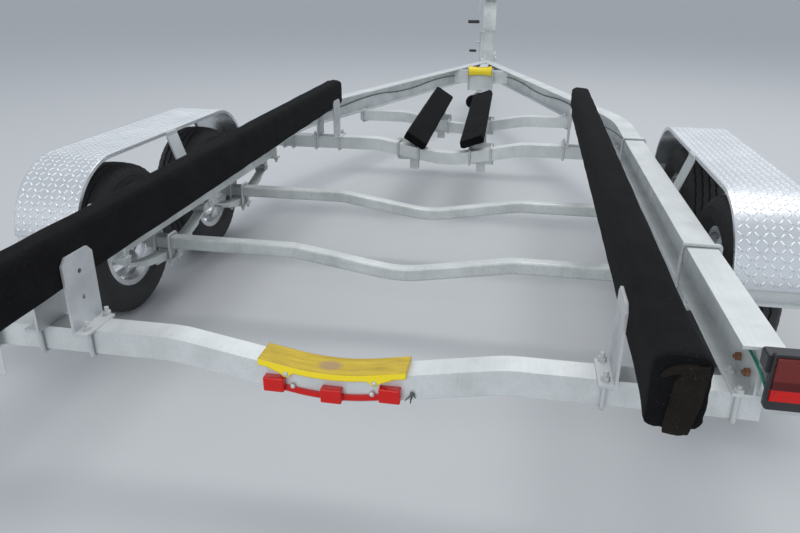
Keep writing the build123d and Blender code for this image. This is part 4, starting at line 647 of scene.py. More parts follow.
def wrapped_board(start, end, across, width, height, corner, rings, seed, end_swell=0.0):
    """Points and faces of a carpeted board from start to end, drawn in and folded at both ends."""
    run = (end - start).normalized()
    across = (across - run * across.dot(run)).normalized()
    up = across.cross(run)
    if up.z < 0:
        up = -up
    length = (end - start).length
    outline = rounded_outline(width, height, corner)
    result = []
    stations = list(END_STATIONS)
    for index in range(rings + 1):
        stations.append((END_GAP + (length - 2 * END_GAP) * index / rings, 0.0))
    for depth, inward in reversed(END_STATIONS):
        stations.append((length - depth, inward))
    for place, inward in stations:
        ring = []
        for a, b in outline:
            near_end = max(0.0, 1 - min(place, length - place) / FOLD_REACH)
            centre = start + run * place
            spot = Vector((a * 22 + seed, place * 9, b * 22))
            swell = noise.noise(spot) * BUNK_SWELL
            pleat = noise.noise(Vector((a * 60, seed, b * 60))) * FOLD_DEPTH * near_end * near_end
            gather = end_swell * max(0.0, 1 - place / END_REACH) ** 2
            scale = 1 - inward + (swell + pleat + gather) / max(width, height) * 2
            tuck = 0.0
            if inward > 0.1:
                tuck = TUCK_DEPTH * noise.noise(Vector((a * 70, b * 70, seed)))
            if place > length / 2:
                tuck = -tuck
            ring.append(centre + across * (a * scale) + up * (b * scale) + run * tuck)
        result.append(ring)
    return skin(result)


print("rings at each end of a board:", len(END_STATIONS))

# %% [markdown]
# At the rear end of each long bunk a strip of carpet hangs down, ragged at its edges, and
# shows the felt's paler back. It is one sheet with a front and a back, and its rows follow
# a short list of edges and heights, because the shape follows no rule.

# %% Flap at a bunk's rear end
FLAP_STEPS = 14
FLAP_THICK = 0.0045
FLAP_CREASE = 0.002
FLAP_RAGGED = 0.003
FLAP_LIFT = 0.003
FLAP_WAVE = 0.003
FLAP_BULGE = 0.006
# columns: left edge, right edge and height, from the middle of the bunk's end
FLAP_ROWS = (
    (0.016, 0.041, 0.060),
    (-0.004, 0.042, 0.042),
    (-0.012, 0.041, 0.022),
    (-0.014, 0.038, -0.010),
    (-0.017, 0.033, -0.038),
    (-0.019, 0.027, -0.064),
    (-0.018, 0.025, -0.076),
)


def flap_rings(middle, side):
    """A strip of carpet folded down over a bunk's rear end, ragged at its edges."""
    rings = []
    for row, (left, right, height) in enumerate(FLAP_ROWS):
        front = []
        back = []
        crease = FLAP_CREASE * (row % 2)
        for step in range(FLAP_STEPS + 1):
            share = step / FLAP_STEPS
            x = left + (right - left) * share
            ragged = FLAP_RAGGED * noise.noise(Vector((x * 150, height * 90, side)))
            bulge = FLAP_LIFT + FLAP_BULGE * math.sin(math.pi * share) + crease
            bulge += FLAP_WAVE * noise.noise(Vector((x * 70, height * 50, side)))
            front.append(middle + Vector((side * x, -bulge - FLAP_THICK, height + ragged)))
            back.append(middle + Vector((side * x, -bulge + FLAP_THICK * 0.5, height + ragged)))
        rings.append(front + list(reversed(back)))
    return skin(rings)


print("rows of a flap:", len(FLAP_ROWS))

# %% [markdown]
# The two long bunks follow the frame and rise a little towards the front, and the two
# short ones tilt inwards to hold the keel. All four are the same wrapped board with other
# sizes, and each stands for its plain solid.

# %% Long and short bunks
BUNK_RINGS = 150
BUNK_INNER_X = 0.673
BUNK_WIDTH = 0.095
BUNK_HEIGHT = 0.142
BUNK_CORNER = 0.026
BUNK_FRONT = 2.690
BUNK_OVERHANG = 0.331
BUNK_UNDER = 0.549
BUNK_SLOPE = 0.0147
BUNK_SEED = 3.1
END_SWELL = 0.006
SHORT_WIDTH = 0.139
SHORT_THICKNESS = 0.046
SHORT_CORNER = 0.014
SHORT_REAR = 2.460
SHORT_FRONT = 3.560
SHORT_SEED = 7.7
# columns: name, side, tilt in degrees, rear X and Z, front X and Z
SHORT_BUNKS = (
    ("short_bunk_left", -1, 32, (-0.188, 0.432), (-0.158, 0.542)),
    ("short_bunk_right", 1, 20, (0.137, 0.440), (0.118, 0.542)),
)


def bunk_point(side, distance):
    """The middle of a long bunk's section at a distance along the trailer."""
    height = BUNK_UNDER + BUNK_SLOPE * distance + BUNK_HEIGHT / 2
    return Vector((side * (BUNK_INNER_X + BUNK_WIDTH / 2), along(distance), height))


for name, side in SIDES:
    start = bunk_point(side, -BUNK_OVERHANG)
    board = wrapped_board(
        start, bunk_point(side, BUNK_FRONT), Vector((1, 0, 0)), BUNK_WIDTH, BUNK_HEIGHT,
        BUNK_CORNER, BUNK_RINGS, BUNK_SEED * side, END_SWELL)
    add_shape("bunk_cover_" + name, board, "bunk_carpet", stands_for=("bunk_" + name,))
    add_shape("bunk_flap_" + name, flap_rings(start, side), "bunk_carpet", finish="carpet_back")
for name, side, tilt, rear, front in SHORT_BUNKS:
    start = Vector((rear[0], along(SHORT_REAR), rear[1]))
    end = Vector((front[0], along(SHORT_FRONT), front[1]))
    lean = math.radians(tilt) * side
    across = Vector((math.cos(lean), 0, math.sin(lean)))
    board = wrapped_board(
        start, end, across, SHORT_WIDTH, SHORT_THICKNESS, SHORT_CORNER, BUNK_RINGS // 2,
        SHORT_SEED * side)
    add_shape(name + "_cover", board, "bunk_carpet", stands_for=(name,))

# %% [markdown]
# A trailer tyre has straight ribs parted by zigzag grooves, small slots along the
# shoulders and thin rings on the sidewall. Its outline is turned about the axle in many
# steps. The grooves swing sideways every two steps, and every fourth step cuts a slot.
# Copies of one tread block would give the same look with more pieces to manage.

# %% Tyres with ribs and slots
TYRE_RADIUS = 0.305
TYRE_X = 1.174
TYRE_HALF = 0.0885
TREAD_HALF = 0.064
TREAD_DROP = 0.007
SHOULDER_RADIUS = 0.276
BEAD_RADIUS = 0.192
BEAD_HALF = 0.0585
TYRE_STEPS = 192
GROOVE_DEPTH = 0.007
GROOVE_HALF = 0.0035
GROOVE_PLACES = (-0.040, -0.0135, 0.0135, 0.040)
SLOT_DEPTH = 0.0035
ZIGZAG = 0.0016
WALL_SHARES = (0.0, 0.08, 0.16, 0.18, 0.20, 0.34, 0.5, 0.66, 0.80, 0.82, 0.84, 0.95)
WALL_RING_SHARES = (0.18, 0.82)
WALL_RING_RISE = 0.0009
INNER_RADIUS = 0.180
AXLE_REAR = 0.975
AXLE_SPACING = 0.750
AXLE_PLACES = (("rear", AXLE_REAR), ("front", AXLE_REAR + AXLE_SPACING))
# columns: name, side and middle of each wheel
WHEELS = []
for axle, distance in AXLE_PLACES:
    for name, side in SIDES:
        WHEELS.append((axle + "_" + name, side, (side * TYRE_X, along(distance), TYRE_RADIUS)))


def crown_radius(x):
    """Radius of the tread at a distance from its middle."""
    return TYRE_RADIUS - TREAD_DROP * (x / TREAD_HALF) ** 2


def tyre_outline():
    """Rows of (X, radius, kind) from the inner bead round the tread to the outer bead."""
    side = []
    for share in WALL_SHARES:
        bulge = math.sin(math.pi * min(1.0, share * 0.92 + 0.04))
        x = BEAD_HALF + (TYRE_HALF - BEAD_HALF) * bulge ** 0.7
        if share > 0.6:
            x = max(x, TYRE_HALF - 0.006 * (share - 0.6) / 0.4)
        raised = WALL_RING_RISE if share in WALL_RING_SHARES else 0.0
        radius = BEAD_RADIUS + (SHOULDER_RADIUS - BEAD_RADIUS) * share
        side.append((min(x + raised, TYRE_HALF), radius, "side"))
    edge = crown_radius(TREAD_HALF)
    side.append((TYRE_HALF - 0.006, SHOULDER_RADIUS, "slot"))
    side.append((TREAD_HALF + 0.006, (SHOULDER_RADIUS + edge) / 2 + 0.004, "slot"))
    side.append((TREAD_HALF, edge, "edge"))
    tread = []
    for place in reversed(GROOVE_PLACES):
        top = crown_radius(place)
        tread.append((place + GROOVE_HALF, top, "groove"))
        tread.append((place + GROOVE_HALF * 0.5, top - GROOVE_DEPTH, "groove"))
        tread.append((place - GROOVE_HALF * 0.5, top - GROOVE_DEPTH, "groove"))
        tread.append((place - GROOVE_HALF, top, "groove"))
    back = [(-x, radius, kind) for x, radius, kind in reversed(side)]
    hidden = [(-BEAD_HALF, INNER_RADIUS, "side"), (BEAD_HALF, INNER_RADIUS, "side")]
    return side + tread + back + hidden


def tyre_rings(centre):
    """The outline turned about the axle, with zigzag grooves and shoulder slots."""
    outline = tyre_outline()
    rings = []
    for step in range(TYRE_STEPS):
        angle = 2 * math.pi * step / TYRE_STEPS
        zigzag = ZIGZAG * (1 if (step // 2) % 2 else -1)
        slot = SLOT_DEPTH if step % 4 == 0 else 0.0
        ring = []
        for x, radius, kind in outline:
            if kind == "groove":
                x = x + zigzag
            if kind == "slot":
                radius = radius - slot
            if kind == "edge":
                radius = radius - slot * 0.6
            y = centre[1] + radius * math.sin(angle)
            ring.append((centre[0] + x, y, centre[2] + radius * math.cos(angle)))
        rings.append(ring)
    return skin(rings, closed=True)


for wheel, side, hub in WHEELS:
    tread_name = "tyre_" + wheel + "_tread"
    add_shape(tread_name, tyre_rings(hub), "tyre_rubber", "wheel_" + wheel, ("tyre_" + wheel,))
print("tyre faces:", len(bpy.data.meshes["tyre_rear_left_tread"].polygons))

# %% [markdown]
# Tread plate is rolled with raised lozenges, each square to its neighbours. They are a
# repeat along a curve, which Geometry Nodes do well: points at equal steps on the fender's
# side line, a row of lozenges on each point, and every second row turned the other way.
# The pitch, the row's width and the lozenge's size are inputs, so another plate needs no
# new nodes. The curve comes first: it is the fender's own side line.

# %% Side line of a fender
LOZENGE_PITCH = 0.0235
LOZENGE_SIZE = (0.0140, 0.0040, 0.0014)
LOZENGE_TURN = math.radians(45)
FENDER_INNER = 1.055
FENDER_OUTER = 1.295
FENDER_TOP = 0.686
FENDER_FOOT = 0.446
FENDER_REAR = 0.566
FENDER_FRONT = 2.048
FENDER_CORNER = 0.270
FENDER_MARGIN = 0.012
ARC_STEPS = 24


def fender_line():
    """The fender's outer side line as (Y, Z) points, from its rear foot to its front foot."""
    z_arc = FENDER_TOP - FENDER_CORNER
    points = []
    corners = ((FENDER_REAR + FENDER_CORNER, math.pi), (FENDER_FRONT - FENDER_CORNER, math.pi / 2))
    for middle_y, first in corners:
        for step in range(ARC_STEPS + 1):
            angle = first - math.pi / 2 * step / ARC_STEPS
            point = (middle_y + FENDER_CORNER * math.cos(angle), z_arc + FENDER_CORNER * math.sin(angle))
            if point[1] > FENDER_FOOT + FENDER_MARGIN:
                points.append(point)
    return points


def side_curve(name, x, points):
    """A straight-sided curve through (Y, Z) points at one X."""
    data = bpy.data.curves.new(name, "CURVE")
    data.dimensions = "3D"
    spline = data.splines.new("POLY")
    spline.points.add(len(points) - 1)
    for point, (y, z) in zip(spline.points, points):
        point.co = (x, along(y), z, 1.0)
    curve = bpy.data.objects.new(name, data)
    scene.collection.objects.link(curve)
    return curve


print("points of the side line:", len(fender_line()))

# %% [markdown]
# The tree makes one lozenge, sets it on two straight rows that start with opposite turns,
# and puts a row on each point of the curve, the two kinds by turns. Realize Instances
# turns the copies into faces, which the export needs.

# %% Tree of the lozenges


def combined(tree, axis, value):
    """A vector with one value on one axis and nothing on the others."""
    node = add_node(tree, "ShaderNodeCombineXYZ")
    link(tree, value, node.inputs[axis])
    return node.outputs["Vector"]


def every_second(tree):
    """Nothing for even points and one for odd points."""
    index = add_node(tree, "GeometryNodeInputIndex").outputs["Index"]
    return add_math(tree, "MODULO", index, 2.0)


def make_lozenge_group():
    """Lozenges in rows across a curve, every second one turned the other way."""
    group = bpy.data.node_groups.new("tread lozenges", "GeometryNodeTree")
    add_socket(group, "Geometry", "NodeSocketGeometry", "INPUT")
    add_socket(group, "Pitch", "NodeSocketFloat", "INPUT", LOZENGE_PITCH)
    add_socket(group, "Row count", "NodeSocketInt", "INPUT", 9)
    add_socket(group, "Row start", "NodeSocketFloat", "INPUT", 0.0)
    add_socket(group, "Size", "NodeSocketVector", "INPUT", LOZENGE_SIZE)
    add_socket(group, "Turn", "NodeSocketFloat", "INPUT", LOZENGE_TURN)
    add_socket(group, "Material", "NodeSocketMaterial", "INPUT")
    add_socket(group, "Geometry", "NodeSocketGeometry", "OUTPUT")
    start = group.nodes.new("NodeGroupInput").outputs
    end = group.nodes.new("NodeGroupOutput")
    ball = add_node(group, "GeometryNodeMeshIcoSphere")
    ball.inputs["Radius"].default_value = 1.0
    ball.inputs["Subdivisions"].default_value = 1
    lozenge = add_node(group, "GeometryNodeTransform")
    link(group, ball.outputs["Mesh"], lozenge.inputs["Geometry"])
    link(group, start["Size"], lozenge.inputs["Scale"])
    rows = []
    for sign in (1, -1):
        line = add_node(group, "GeometryNodeMeshLine")
        link(group, start["Row count"], line.inputs["Count"])
        link(group, combined(group, "X", start["Row start"]), line.inputs["Start Location"])
        link(group, combined(group, "X", start["Pitch"]), line.inputs["Offset"])
        swing = add_range(group, every_second(group), 0, 1, sign, -sign)
        turn = combined(group, "Z", add_math(group, "MULTIPLY", swing, start["Turn"]))
        on_line = add_node(group, "GeometryNodeInstanceOnPoints")
        link(group, line.outputs["Mesh"], on_line.inputs["Points"])
        link(group, lozenge.outputs["Geometry"], on_line.inputs["Instance"])
        link(group, turn, on_line.inputs["Rotation"])
        row = add_node(group, "GeometryNodeRealizeInstances")
        link(group, on_line.outputs["Instances"], row.inputs["Geometry"])
        rows.append(row.outputs["Geometry"])
    choice = add_node(group, "GeometryNodeGeometryToInstance")
    for row in rows:
        link(group, row, choice.inputs["Geometry"])
    dots = add_node(group, "GeometryNodeCurveToPoints", mode="LENGTH")
    link(group, start["Geometry"], dots.inputs["Curve"])
    link(group, start["Pitch"], dots.inputs["Length"])
    outward = add_node(group, "ShaderNodeVectorMath", operation="CROSS_PRODUCT")
    outward.inputs[0].default_value = (1.0, 0.0, 0.0)
    link(group, dots.outputs["Tangent"], outward.inputs[1])
    facing = add_node(group, "FunctionNodeAxesToRotation", primary_axis="Z", secondary_axis="X")
    link(group, outward.outputs["Vector"], facing.inputs["Primary Axis"])
    facing.inputs["Secondary Axis"].default_value = (1.0, 0.0, 0.0)
    spread = add_node(group, "GeometryNodeInstanceOnPoints")
    link(group, dots.outputs["Points"], spread.inputs["Points"])
    link(group, choice.outputs["Instances"], spread.inputs["Instance"])
    spread.inputs["Pick Instance"].default_value = True
    link(group, every_second(group), spread.inputs["Instance Index"])
    link(group, facing.outputs["Rotation"], spread.inputs["Rotation"])
    whole = add_node(group, "GeometryNodeRealizeInstances")
    link(group, spread.outputs["Instances"], whole.inputs["Geometry"])
    smooth = add_node(group, "GeometryNodeSetShadeSmooth")
    link(group, whole.outputs["Geometry"], smooth.inputs["Geometry"])
    dressed = add_node(group, "GeometryNodeSetMaterial")
    link(group, smooth.outputs["Geometry"], dressed.inputs["Geometry"])
    link(group, start["Material"], dressed.inputs["Material"])
    link(group, dressed.outputs["Geometry"], end.inputs["Geometry"])
    return group


lozenge_group = make_lozenge_group()
print("lozenge tree nodes:", len(lozenge_group.nodes))

# %% [markdown]
# A modifier gets its inputs by the identifier of each socket, so a small helper looks them
# up by name. The result is turned into a plain mesh, since a piece is one fixed mesh, and
# the curve that carried it is removed.

# %% Lozenges on both fenders


def set_inputs(modifier, values):
    """Give a node modifier its inputs by the names on the group."""
    for item in modifier.node_group.interface.items_tree:
        if item.in_out == "INPUT" and item.name in values:
            modifier[item.identifier] = values[item.name]


def mesh_from(carrier, name):
    """The evaluated shape of a carrier as a plain mesh, and the carrier is removed."""
    evaluated = carrier.evaluated_get(bpy.context.evaluated_depsgraph_get())
    mesh = bpy.data.meshes.new_from_object(evaluated)
    mesh.name = name
    bpy.data.objects.remove(carrier)
    return mesh


row_count = int((FENDER_OUTER - FENDER_INNER - 2 * FENDER_MARGIN) / LOZENGE_PITCH) + 1
row_start = -(row_count - 1) * LOZENGE_PITCH / 2
for name, side in SIDES:
    carrier = side_curve("tread_line_" + name, side * (FENDER_INNER + FENDER_OUTER) / 2, fender_line())
    modifier = carrier.modifiers.new("tread lozenges", "NODES")
    modifier.node_group = lozenge_group
    # the lozenges take the lighter finish, a painted highlight
    set_inputs(modifier, {
        "Pitch": LOZENGE_PITCH, "Row count": row_count, "Row start": row_start, "Size": LOZENGE_SIZE,
        "Turn": LOZENGE_TURN, "Material": finishes["tread_mark_painted_highlight"]})
    tread_mesh = mesh_from(carrier, "tread_lozenges_" + name)
    add_piece("tread_lozenges_" + name, tread_mesh, "tread_plate", finish="tread_mark_painted_highlight")
print("lozenge rows of", row_count, "faces", len(tread_mesh.polygons))

# %% [markdown]
# Used carpet and wiring never end neatly. One helper turns a line of points with radii
# into an uneven strand. It makes the rolled hem on each long bunk's end, the folded corner
# on a short bunk with its strap, and the wire tie beside the marker lights. A subdivision
# surface rounds them.

# %% Loose ends
HEM_DROP = 0.004
HEM_POINTS = (
    (-0.036, 0.034), (-0.022, 0.046), (-0.004, 0.050), (0.014, 0.054), (0.032, 0.050), (0.044, 0.042),
)
HEM_RADII = (0.005, 0.009, 0.010, 0.010, 0.009, 0.005)
# columns: X, distance along the trailer and Z
FOLD_POINTS = (
    (0.066, 3.552, 0.536),
    (0.044, 3.548, 0.530),
    (0.024, 3.540, 0.510),
    (0.020, 3.532, 0.484),
    (0.036, 3.524, 0.460),
)
FOLD_RADII = (0.008, 0.017, 0.024, 0.022, 0.010)
STRAP_POINTS = (
    (0.044, 3.556, 0.532),
    (0.058, 3.566, 0.548),
    (0.078, 3.566, 0.562),
    (0.086, 3.560, 0.556),
)
STRAP_RADII = (0.004, 0.007, 0.007, 0.004)
TIE_Y = 0.004
TIE_KNOT = (0.203, 0.339)
# columns: X and Z of each point, radii, wobble
TIE_STRANDS = (
    (((0.197, 0.343), TIE_KNOT, (0.209, 0.335)), (0.003, 0.0055, 0.003), 0.3),
    ((TIE_KNOT, (0.196, 0.331), (0.183, 0.316)), (0.002, 0.0018, 0.0012), 0.0),
    ((TIE_KNOT, (0.200, 0.326), (0.198, 0.310)), (0.0025, 0.0022, 0.0016), 0.0),
    ((TIE_KNOT, (0.208, 0.333), (0.212, 0.328)), (0.002, 0.0018, 0.0014), 0.0),
)


def strand(points, radii, wobble=0.0, steps=14):
    """Points and faces of an uneven round strand through a line of points."""
    spots = [Vector(point) for point in points]
    rings = []
    for index, (spot, radius) in enumerate(zip(spots, radii)):
        before = spots[max(index - 1, 0)]
        after = spots[min(index + 1, len(spots) - 1)]
        run = (after - before).normalized()
        first = run.cross(Vector((0.2, 1.0, 0.3))).normalized()
        second = run.cross(first)
        ring = []
        for step in range(steps):
            angle = 2 * math.pi * step / steps
            spoke = first * math.cos(angle) + second * math.sin(angle)
            uneven = 1 + wobble * noise.noise((spot + spoke * radius) * 80)
            ring.append(spot + spoke * radius * uneven)
        rings.append(ring)
    return skin(rings)


def soft_piece(name, shells, finish, slot):
    """A piece made of strands, smoothed by a subdivision surface."""
    piece = add_shape(name, join_parts(shells), slot, finish=finish)
    smoother = piece.modifiers.new("smoother", "SUBSURF")
    smoother.levels = 2
    smoother.render_levels = 2


def placed(points):
    """Points given by their distance along the trailer, in the scene's frame."""
    return [(x, along(y), z) for x, y, z in points]


for name, side in SIDES:
    end = bunk_point(side, -BUNK_OVERHANG)
    line = [(end.x + side * x, along(-BUNK_OVERHANG - HEM_DROP), end.z + z) for x, z in HEM_POINTS]
    soft_piece("bunk_hem_" + name, [strand(line, HEM_RADII, 0.5)], "carpet_back", "bunk_carpet")
fold = strand(placed(FOLD_POINTS), FOLD_RADII, 0.5)
soft_piece("bunk_folded_corner", [fold], "bunk_carpet", "bunk_carpet")
strap = strand(placed(STRAP_POINTS), STRAP_RADII, 0.2)
soft_piece("bunk_corner_strap", [strap], "strap_webbing", "bunk_carpet")
tie = []
for points, radii, wobble in TIE_STRANDS:
    tie.append(strand(placed((x, TIE_Y, z) for x, z in points), radii, wobble))
soft_piece("wire_tie", tie, "tie_grey", "wire_black")
print("loose ends:", len(SIDES), "hems, one corner, one strap and a tie of", len(tie), "strands")

# %% [markdown]
# Bolt heads, rivets and nuts make a frame look built rather than cast. The solids carry
# the fasteners that hold the frame, and the scene adds the small ones. A round head is an
# outline turned about its axis, and a nut is one turned in six steps.

# %% Shapes of heads and nuts
DOME_STEPS = 16
NUT_SIDES = 6
WASHER_THICK = 0.0018


def dome_rings(centre, direction, outline, steps):
    """An outline of (height, radius) pairs turned about a direction, from its rim to its top."""
    axis = Vector(direction).normalized()
    first = axis.orthogonal().normalized()
    second = axis.cross(first)
    rings = []
    for height, radius in outline:
        ring = []
        for step in range(steps):
            angle = 2 * math.pi * step / steps
            spoke = first * math.cos(angle) + second * math.sin(angle)
            ring.append(Vector(centre) + axis * height + spoke * radius)
        rings.append(ring)
    return skin(rings)


def dome(centre, direction, radius, height):
    """A round head, like half of a flattened ball."""
    outline = []
    for step in range(5):
        angle = math.pi / 2 * step / 4.2
        outline.append((height * math.sin(angle), radius * math.cos(angle)))
    return dome_rings(centre, direction, outline, DOME_STEPS)


def washer_and_nut(centre, direction, across, height, washer):
    """A round washer with a six-sided nut on it."""
    rim = [(0, washer), (WASHER_THICK, washer), (0.0020, washer * 0.96)]
    ring = dome_rings(centre, direction, rim, DOME_STEPS)
    top = Vector(centre) + Vector(direction).normalized() * WASHER_THICK
    corner = across / math.sqrt(3)
    outline = [(0, corner), (height * 0.85, corner), (height, corner * 0.88)]
    return join_parts([ring, dome_rings(top, direction, outline, NUT_SIDES)])


print("a nut has", NUT_SIDES, "sides and a head", DOME_STEPS)

# %% [markdown]
# Seen from behind, the keel pad has two domed bolts, the lamp strip has a rivet on each
# side, and each lens is held by two screws. They are small enough to share two meshes.

# %% Heads at the rear
PAD_BOLTS = ((-0.117, 0.364), (0.1095, 0.362))
PAD_REAR = -0.003
RIVET_X = 0.102
RIVET_Z = 0.327
STRIP_REAR = 0.003
HEAD_SIZE = (0.0070, 0.0045)
LENS_REAR = -0.065
LENS_SCREW_XS = (0.983, 1.118)
LENS_SCREW_Z = 0.479
SCREW_SIZE = (0.0042, 0.0028)
REARWARDS = (0, -1, 0)

heads = [dome((x, along(PAD_REAR), z), REARWARDS, *HEAD_SIZE) for x, z in PAD_BOLTS]
screws = []
for _, side in SIDES:
    heads.append(dome((side * RIVET_X, along(STRIP_REAR), RIVET_Z), REARWARDS, *HEAD_SIZE))
    for x in LENS_SCREW_XS:
        screws.append(dome((side * x, along(LENS_REAR), LENS_SCREW_Z), REARWARDS, *SCREW_SIZE))
add_shape("pad_bolts_and_rivets", join_parts(heads), "galvanised_steel")
add_shape("lens_screws", join_parts(screws), "lens_red")
print("heads:", len(heads), "screws:", len(screws))

# %% [markdown]
# Each wheel is held by five lug nuts on a circle, and its valve leans in towards the hub.
# All are outlines turned about an axis, and they ride on their own wheel, so that they
# turn with it.

# %% Lug nuts and valves
RIM_FACE_X = 0.034
LUG_CIRCLE = 0.05715
LUG_COUNT = 5
VALVE_CIRCLE = 0.166
VALVE_OUT = 0.050
VALVE_TURN = math.radians(36)
VALVE_LEAN = 0.25
VALVE_STEPS = 12
# columns of both outlines: height and radius
LUG_OUTLINE = ((0, 0.0125), (0.0030, 0.0125), (0.0032, 0.0122), (0.0190, 0.0122), (0.0220, 0.0085))
VALVE_OUTLINE = (
    (0, 0.0075), (0.006, 0.0060), (0.022, 0.0045), (0.024, 0.0055), (0.034, 0.0055), (0.036, 0.0040),
)


def wheel_spot(hub, out, circle, turn):
    """A point on a circle about a wheel's axle, at a distance out from its middle."""
    return (hub[0] + out, hub[1] + circle * math.sin(turn), hub[2] + circle * math.cos(turn))


for wheel, side, hub in WHEELS:
    nuts = []
    for index in range(LUG_COUNT):
        spot = wheel_spot(hub, side * RIM_FACE_X, LUG_CIRCLE, 2 * math.pi * index / LUG_COUNT)
        nuts.append(dome_rings(spot, (side, 0, 0), LUG_OUTLINE, NUT_SIDES))
    add_shape("lug_nuts_" + wheel, join_parts(nuts), "wheel_alloy", "wheel_" + wheel)
    stem = wheel_spot(hub, side * VALVE_OUT, VALVE_CIRCLE, VALVE_TURN)
    lean = (side, -VALVE_LEAN * math.sin(VALVE_TURN), -VALVE_LEAN * math.cos(VALVE_TURN))
    valve = dome_rings(stem, lean, VALVE_OUTLINE, VALVE_STEPS)
    add_shape("valve_" + wheel, valve, "tyre_rubber", "wheel_" + wheel)
print("lug nuts:", LUG_COUNT * len(WHEELS), "valves:", len(WHEELS))

# %% [markdown]
# Each tail lamp has one wire, which hangs out of the beam's rear end and runs inside the
# beam to the nose. It is a NURBS curve of order 3 whose control points are the route's
# corners, so its bends are as wide as its runs allow, and a round bevel gives it
# thickness. Near the lamp its jacket is stripped back to a green wire.

# %% Lamp wires
WIRE_RADIUS = 0.003
GREEN_END = 0.10
GREEN_BLEND = 0.002
# columns: X, distance along the trailer and Z of the right wire's points
WIRE_POINTS = (
    (0.983, -0.0432, 0.452),
    (0.977, -0.024, 0.463),
    (0.949, -0.014, 0.531),
    (0.953, 1.200, 0.537),
    (0.954, 2.440, 0.512),
    (0.864, 3.000, 0.478),
    (0.677, 3.600, 0.524),
    (0.520, 4.100, 0.478),
    (0.332, 4.700, 0.518),
    (0.234, 5.018, 0.496),
)


def make_wire_finish():
    """Black jacket, with a green wire where it has been stripped near the lamp."""
    material, tree, shader = new_material("wire jacket and core")
    vector = object_vector(tree)
    bare = along(GREEN_END)
    near = add_range(
        tree, part_along(tree, vector, "Y"), bare - GREEN_BLEND, bare + GREEN_BLEND, 1.0, 0.0)
    cloud = add_noise(tree, vector, 60.0, 3.0)
    green = mix_color(tree, cloud, (0.004, 0.16, 0.10, 1), (0.010, 0.30, 0.19, 1))
    black = mix_color(tree, cloud, (0.010, 0.010, 0.010, 1), (0.028, 0.028, 0.028, 1))
    link(tree, mix_color(tree, near, black, green), shader.inputs["Base Color"])
    shader.inputs["Roughness"].default_value = 0.42
    return material


wire_finish = make_wire_finish()
for name, side in SIDES:
    data = bpy.data.curves.new("lamp_wire_" + name, "CURVE")
    data.dimensions = "3D"
    spline = data.splines.new("NURBS")
    spline.points.add(len(WIRE_POINTS) - 1)
    for point, (x, y, z) in zip(spline.points, WIRE_POINTS):
        point.co = (side * x, along(y), z, 1.0)
    spline.order_u = 3
    spline.use_endpoint_u = True
    spline.resolution_u = 12
    data.bevel_depth = WIRE_RADIUS
    data.bevel_resolution = 3
    data.use_fill_caps = True
    data.materials.append(wire_finish)
    wire = bpy.data.objects.new("lamp_wire_" + name, data)
    scene.collection.objects.link(wire)
    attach(wire, "chassis")
    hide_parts("wire_" + name)
    x, y, z = WIRE_POINTS[0]

# %% [markdown]
# The nose is handled, so it gets what hands and wrenches touch. Both cranks carry a
# plastic grip with finger rings, which is an outline turned about X.

# %% Grips of the cranks
GRIP_RINGS = 5
GRIP_SWELL = 0.0016
GRIP_STEPS = 24
# columns: X of the crank's arm, length and radius of its handle
WINCH_HANDLE = (-0.102, 0.115, 0.014)
WINCH_HANDLE_RISE = 0.014
JACK_HANDLE = (-0.151, 0.075, 0.011)
JACK_HANDLE_Z = 0.600


def crank_grip(inner_x, length, radius, y, z):
    """A ringed sleeve round a crank's handle, from its arm outwards."""
    outline = [(0.0015, radius + 0.0004), (0.003, radius + 0.002)]
    steps = GRIP_RINGS * 6
    for step in range(steps + 1):
        share = step / steps
        wave = math.cos(2 * math.pi * GRIP_RINGS * share)
        outline.append((0.006 + (length - 0.012) * share, radius + 0.0024 + GRIP_SWELL * wave))
    outline.append((length - 0.002, radius + 0.002))
    outline.append((length + 0.002, radius - 0.002))
    outline.append((length + 0.003, radius * 0.5))
    return dome_rings((inner_x, y, z), (-1, 0, 0), outline, GRIP_STEPS)


winch_low, winch_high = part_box("winch")
winch_y = (winch_low.y + winch_high.y) / 2
winch_grip = crank_grip(*WINCH_HANDLE, winch_y, winch_low.z + WINCH_HANDLE_RISE)
add_shape("winch_grip", winch_grip, "roller_black")
jack_low, jack_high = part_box("jack_tube")
jack_grip = crank_grip(*JACK_HANDLE, (jack_low.y + jack_high.y) / 2, JACK_HANDLE_Z)
add_shape("jack_grip", jack_grip, "roller_black", "jack_tube")
print("grip rings:", GRIP_RINGS)

# %% [markdown]
# Bolts with washers hold the jack's mount, the coupler, the winch and the head plate under
# it. Most of their places are measured from the boxes of those solids.

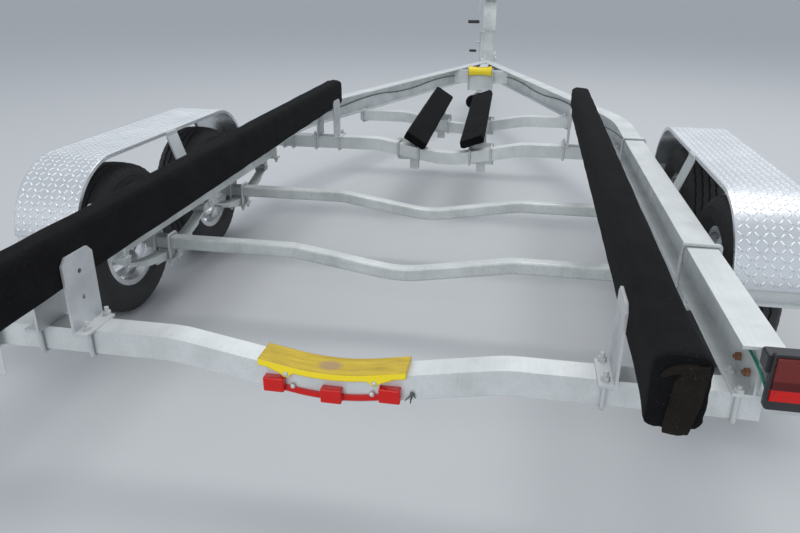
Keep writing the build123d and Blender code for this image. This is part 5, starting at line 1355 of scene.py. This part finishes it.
# %% Bolts at the nose
BOLT_ACROSS = 0.019
BOLT_HEIGHT = 0.008
BOLT_WASHER = 0.013
MOUNT_FACE_X = 0.046
MOUNT_MARGIN = 0.014
MOUNT_FOOT = 0.020
MOUNT_HEAD = 0.022
COUPLER_BOLTS = (0.030, 0.110)
COUPLER_BOLT_Z = 0.512
WINCH_BOLT_X = 0.040
WINCH_MARGIN = 0.018
WINCH_BASE = 0.012
PLATE_BOLT_X = 0.060
PLATE_BOLT_APART = 0.045
PLATE_BOLT_RISE = 0.040

mount_low, mount_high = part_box("jack_mount")
coupler_low, coupler_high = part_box("coupler")
plate_low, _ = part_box("bow_stop")
# each bolt's place and direction
bolts = []
for y in (mount_low.y + MOUNT_MARGIN, mount_high.y - MOUNT_MARGIN):
    for z in (RAIL_UNDER + MOUNT_FOOT, RAIL_TOP - MOUNT_HEAD):
        bolts.append(((-MOUNT_FACE_X, y, z), (-1, 0, 0)))
for _, side in SIDES:
    for distance in COUPLER_BOLTS:
        place = (side * coupler_high.x, coupler_low.y + distance, COUPLER_BOLT_Z)
        bolts.append((place, (side, 0, 0)))
    for y in (winch_low.y + WINCH_MARGIN, winch_high.y - WINCH_MARGIN):
        bolts.append(((side * WINCH_BOLT_X, y, plate_low.z + WINCH_BASE), (0, 0, 1)))
    for y in (winch_y - PLATE_BOLT_APART, winch_y + PLATE_BOLT_APART):
        bolts.append(((side * PLATE_BOLT_X, y, plate_low.z + PLATE_BOLT_RISE), (side, 0, 0)))
nuts = [washer_and_nut(place, way, BOLT_ACROSS, BOLT_HEIGHT, BOLT_WASHER) for place, way in bolts]
add_shape("nose_bolts", join_parts(nuts), "galvanised_steel")
print("nose bolts:", len(bolts))

# %% [markdown]
# The jack's wheel gets a thin steel hub with a raised rim on each side. It rides on the
# wheel's own body, so that it rolls with it.

# %% Hub of the jack's wheel
HUB_STEPS = 32
HUB_OUTLINE = (
    (0, 0.058), (0.0012, 0.058), (0.0016, 0.055), (0.0006, 0.046), (0.0006, 0.030), (0.003, 0.024),
    (0.004, 0.012),
)

caster_low, caster_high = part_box("jack_wheel")
caster_middle = (caster_low + caster_high) / 2
hubs = []
for _, side in SIDES:
    face_x = caster_middle.x + side * (caster_high.x - caster_low.x) / 2
    face = (face_x, caster_middle.y, caster_middle.z)
    hubs.append(dome_rings(face, (side, 0, 0), HUB_OUTLINE, HUB_STEPS))
add_shape("caster_hub", join_parts(hubs), "galvanised_steel", "jack_wheel")
print("hub sides:", len(hubs))
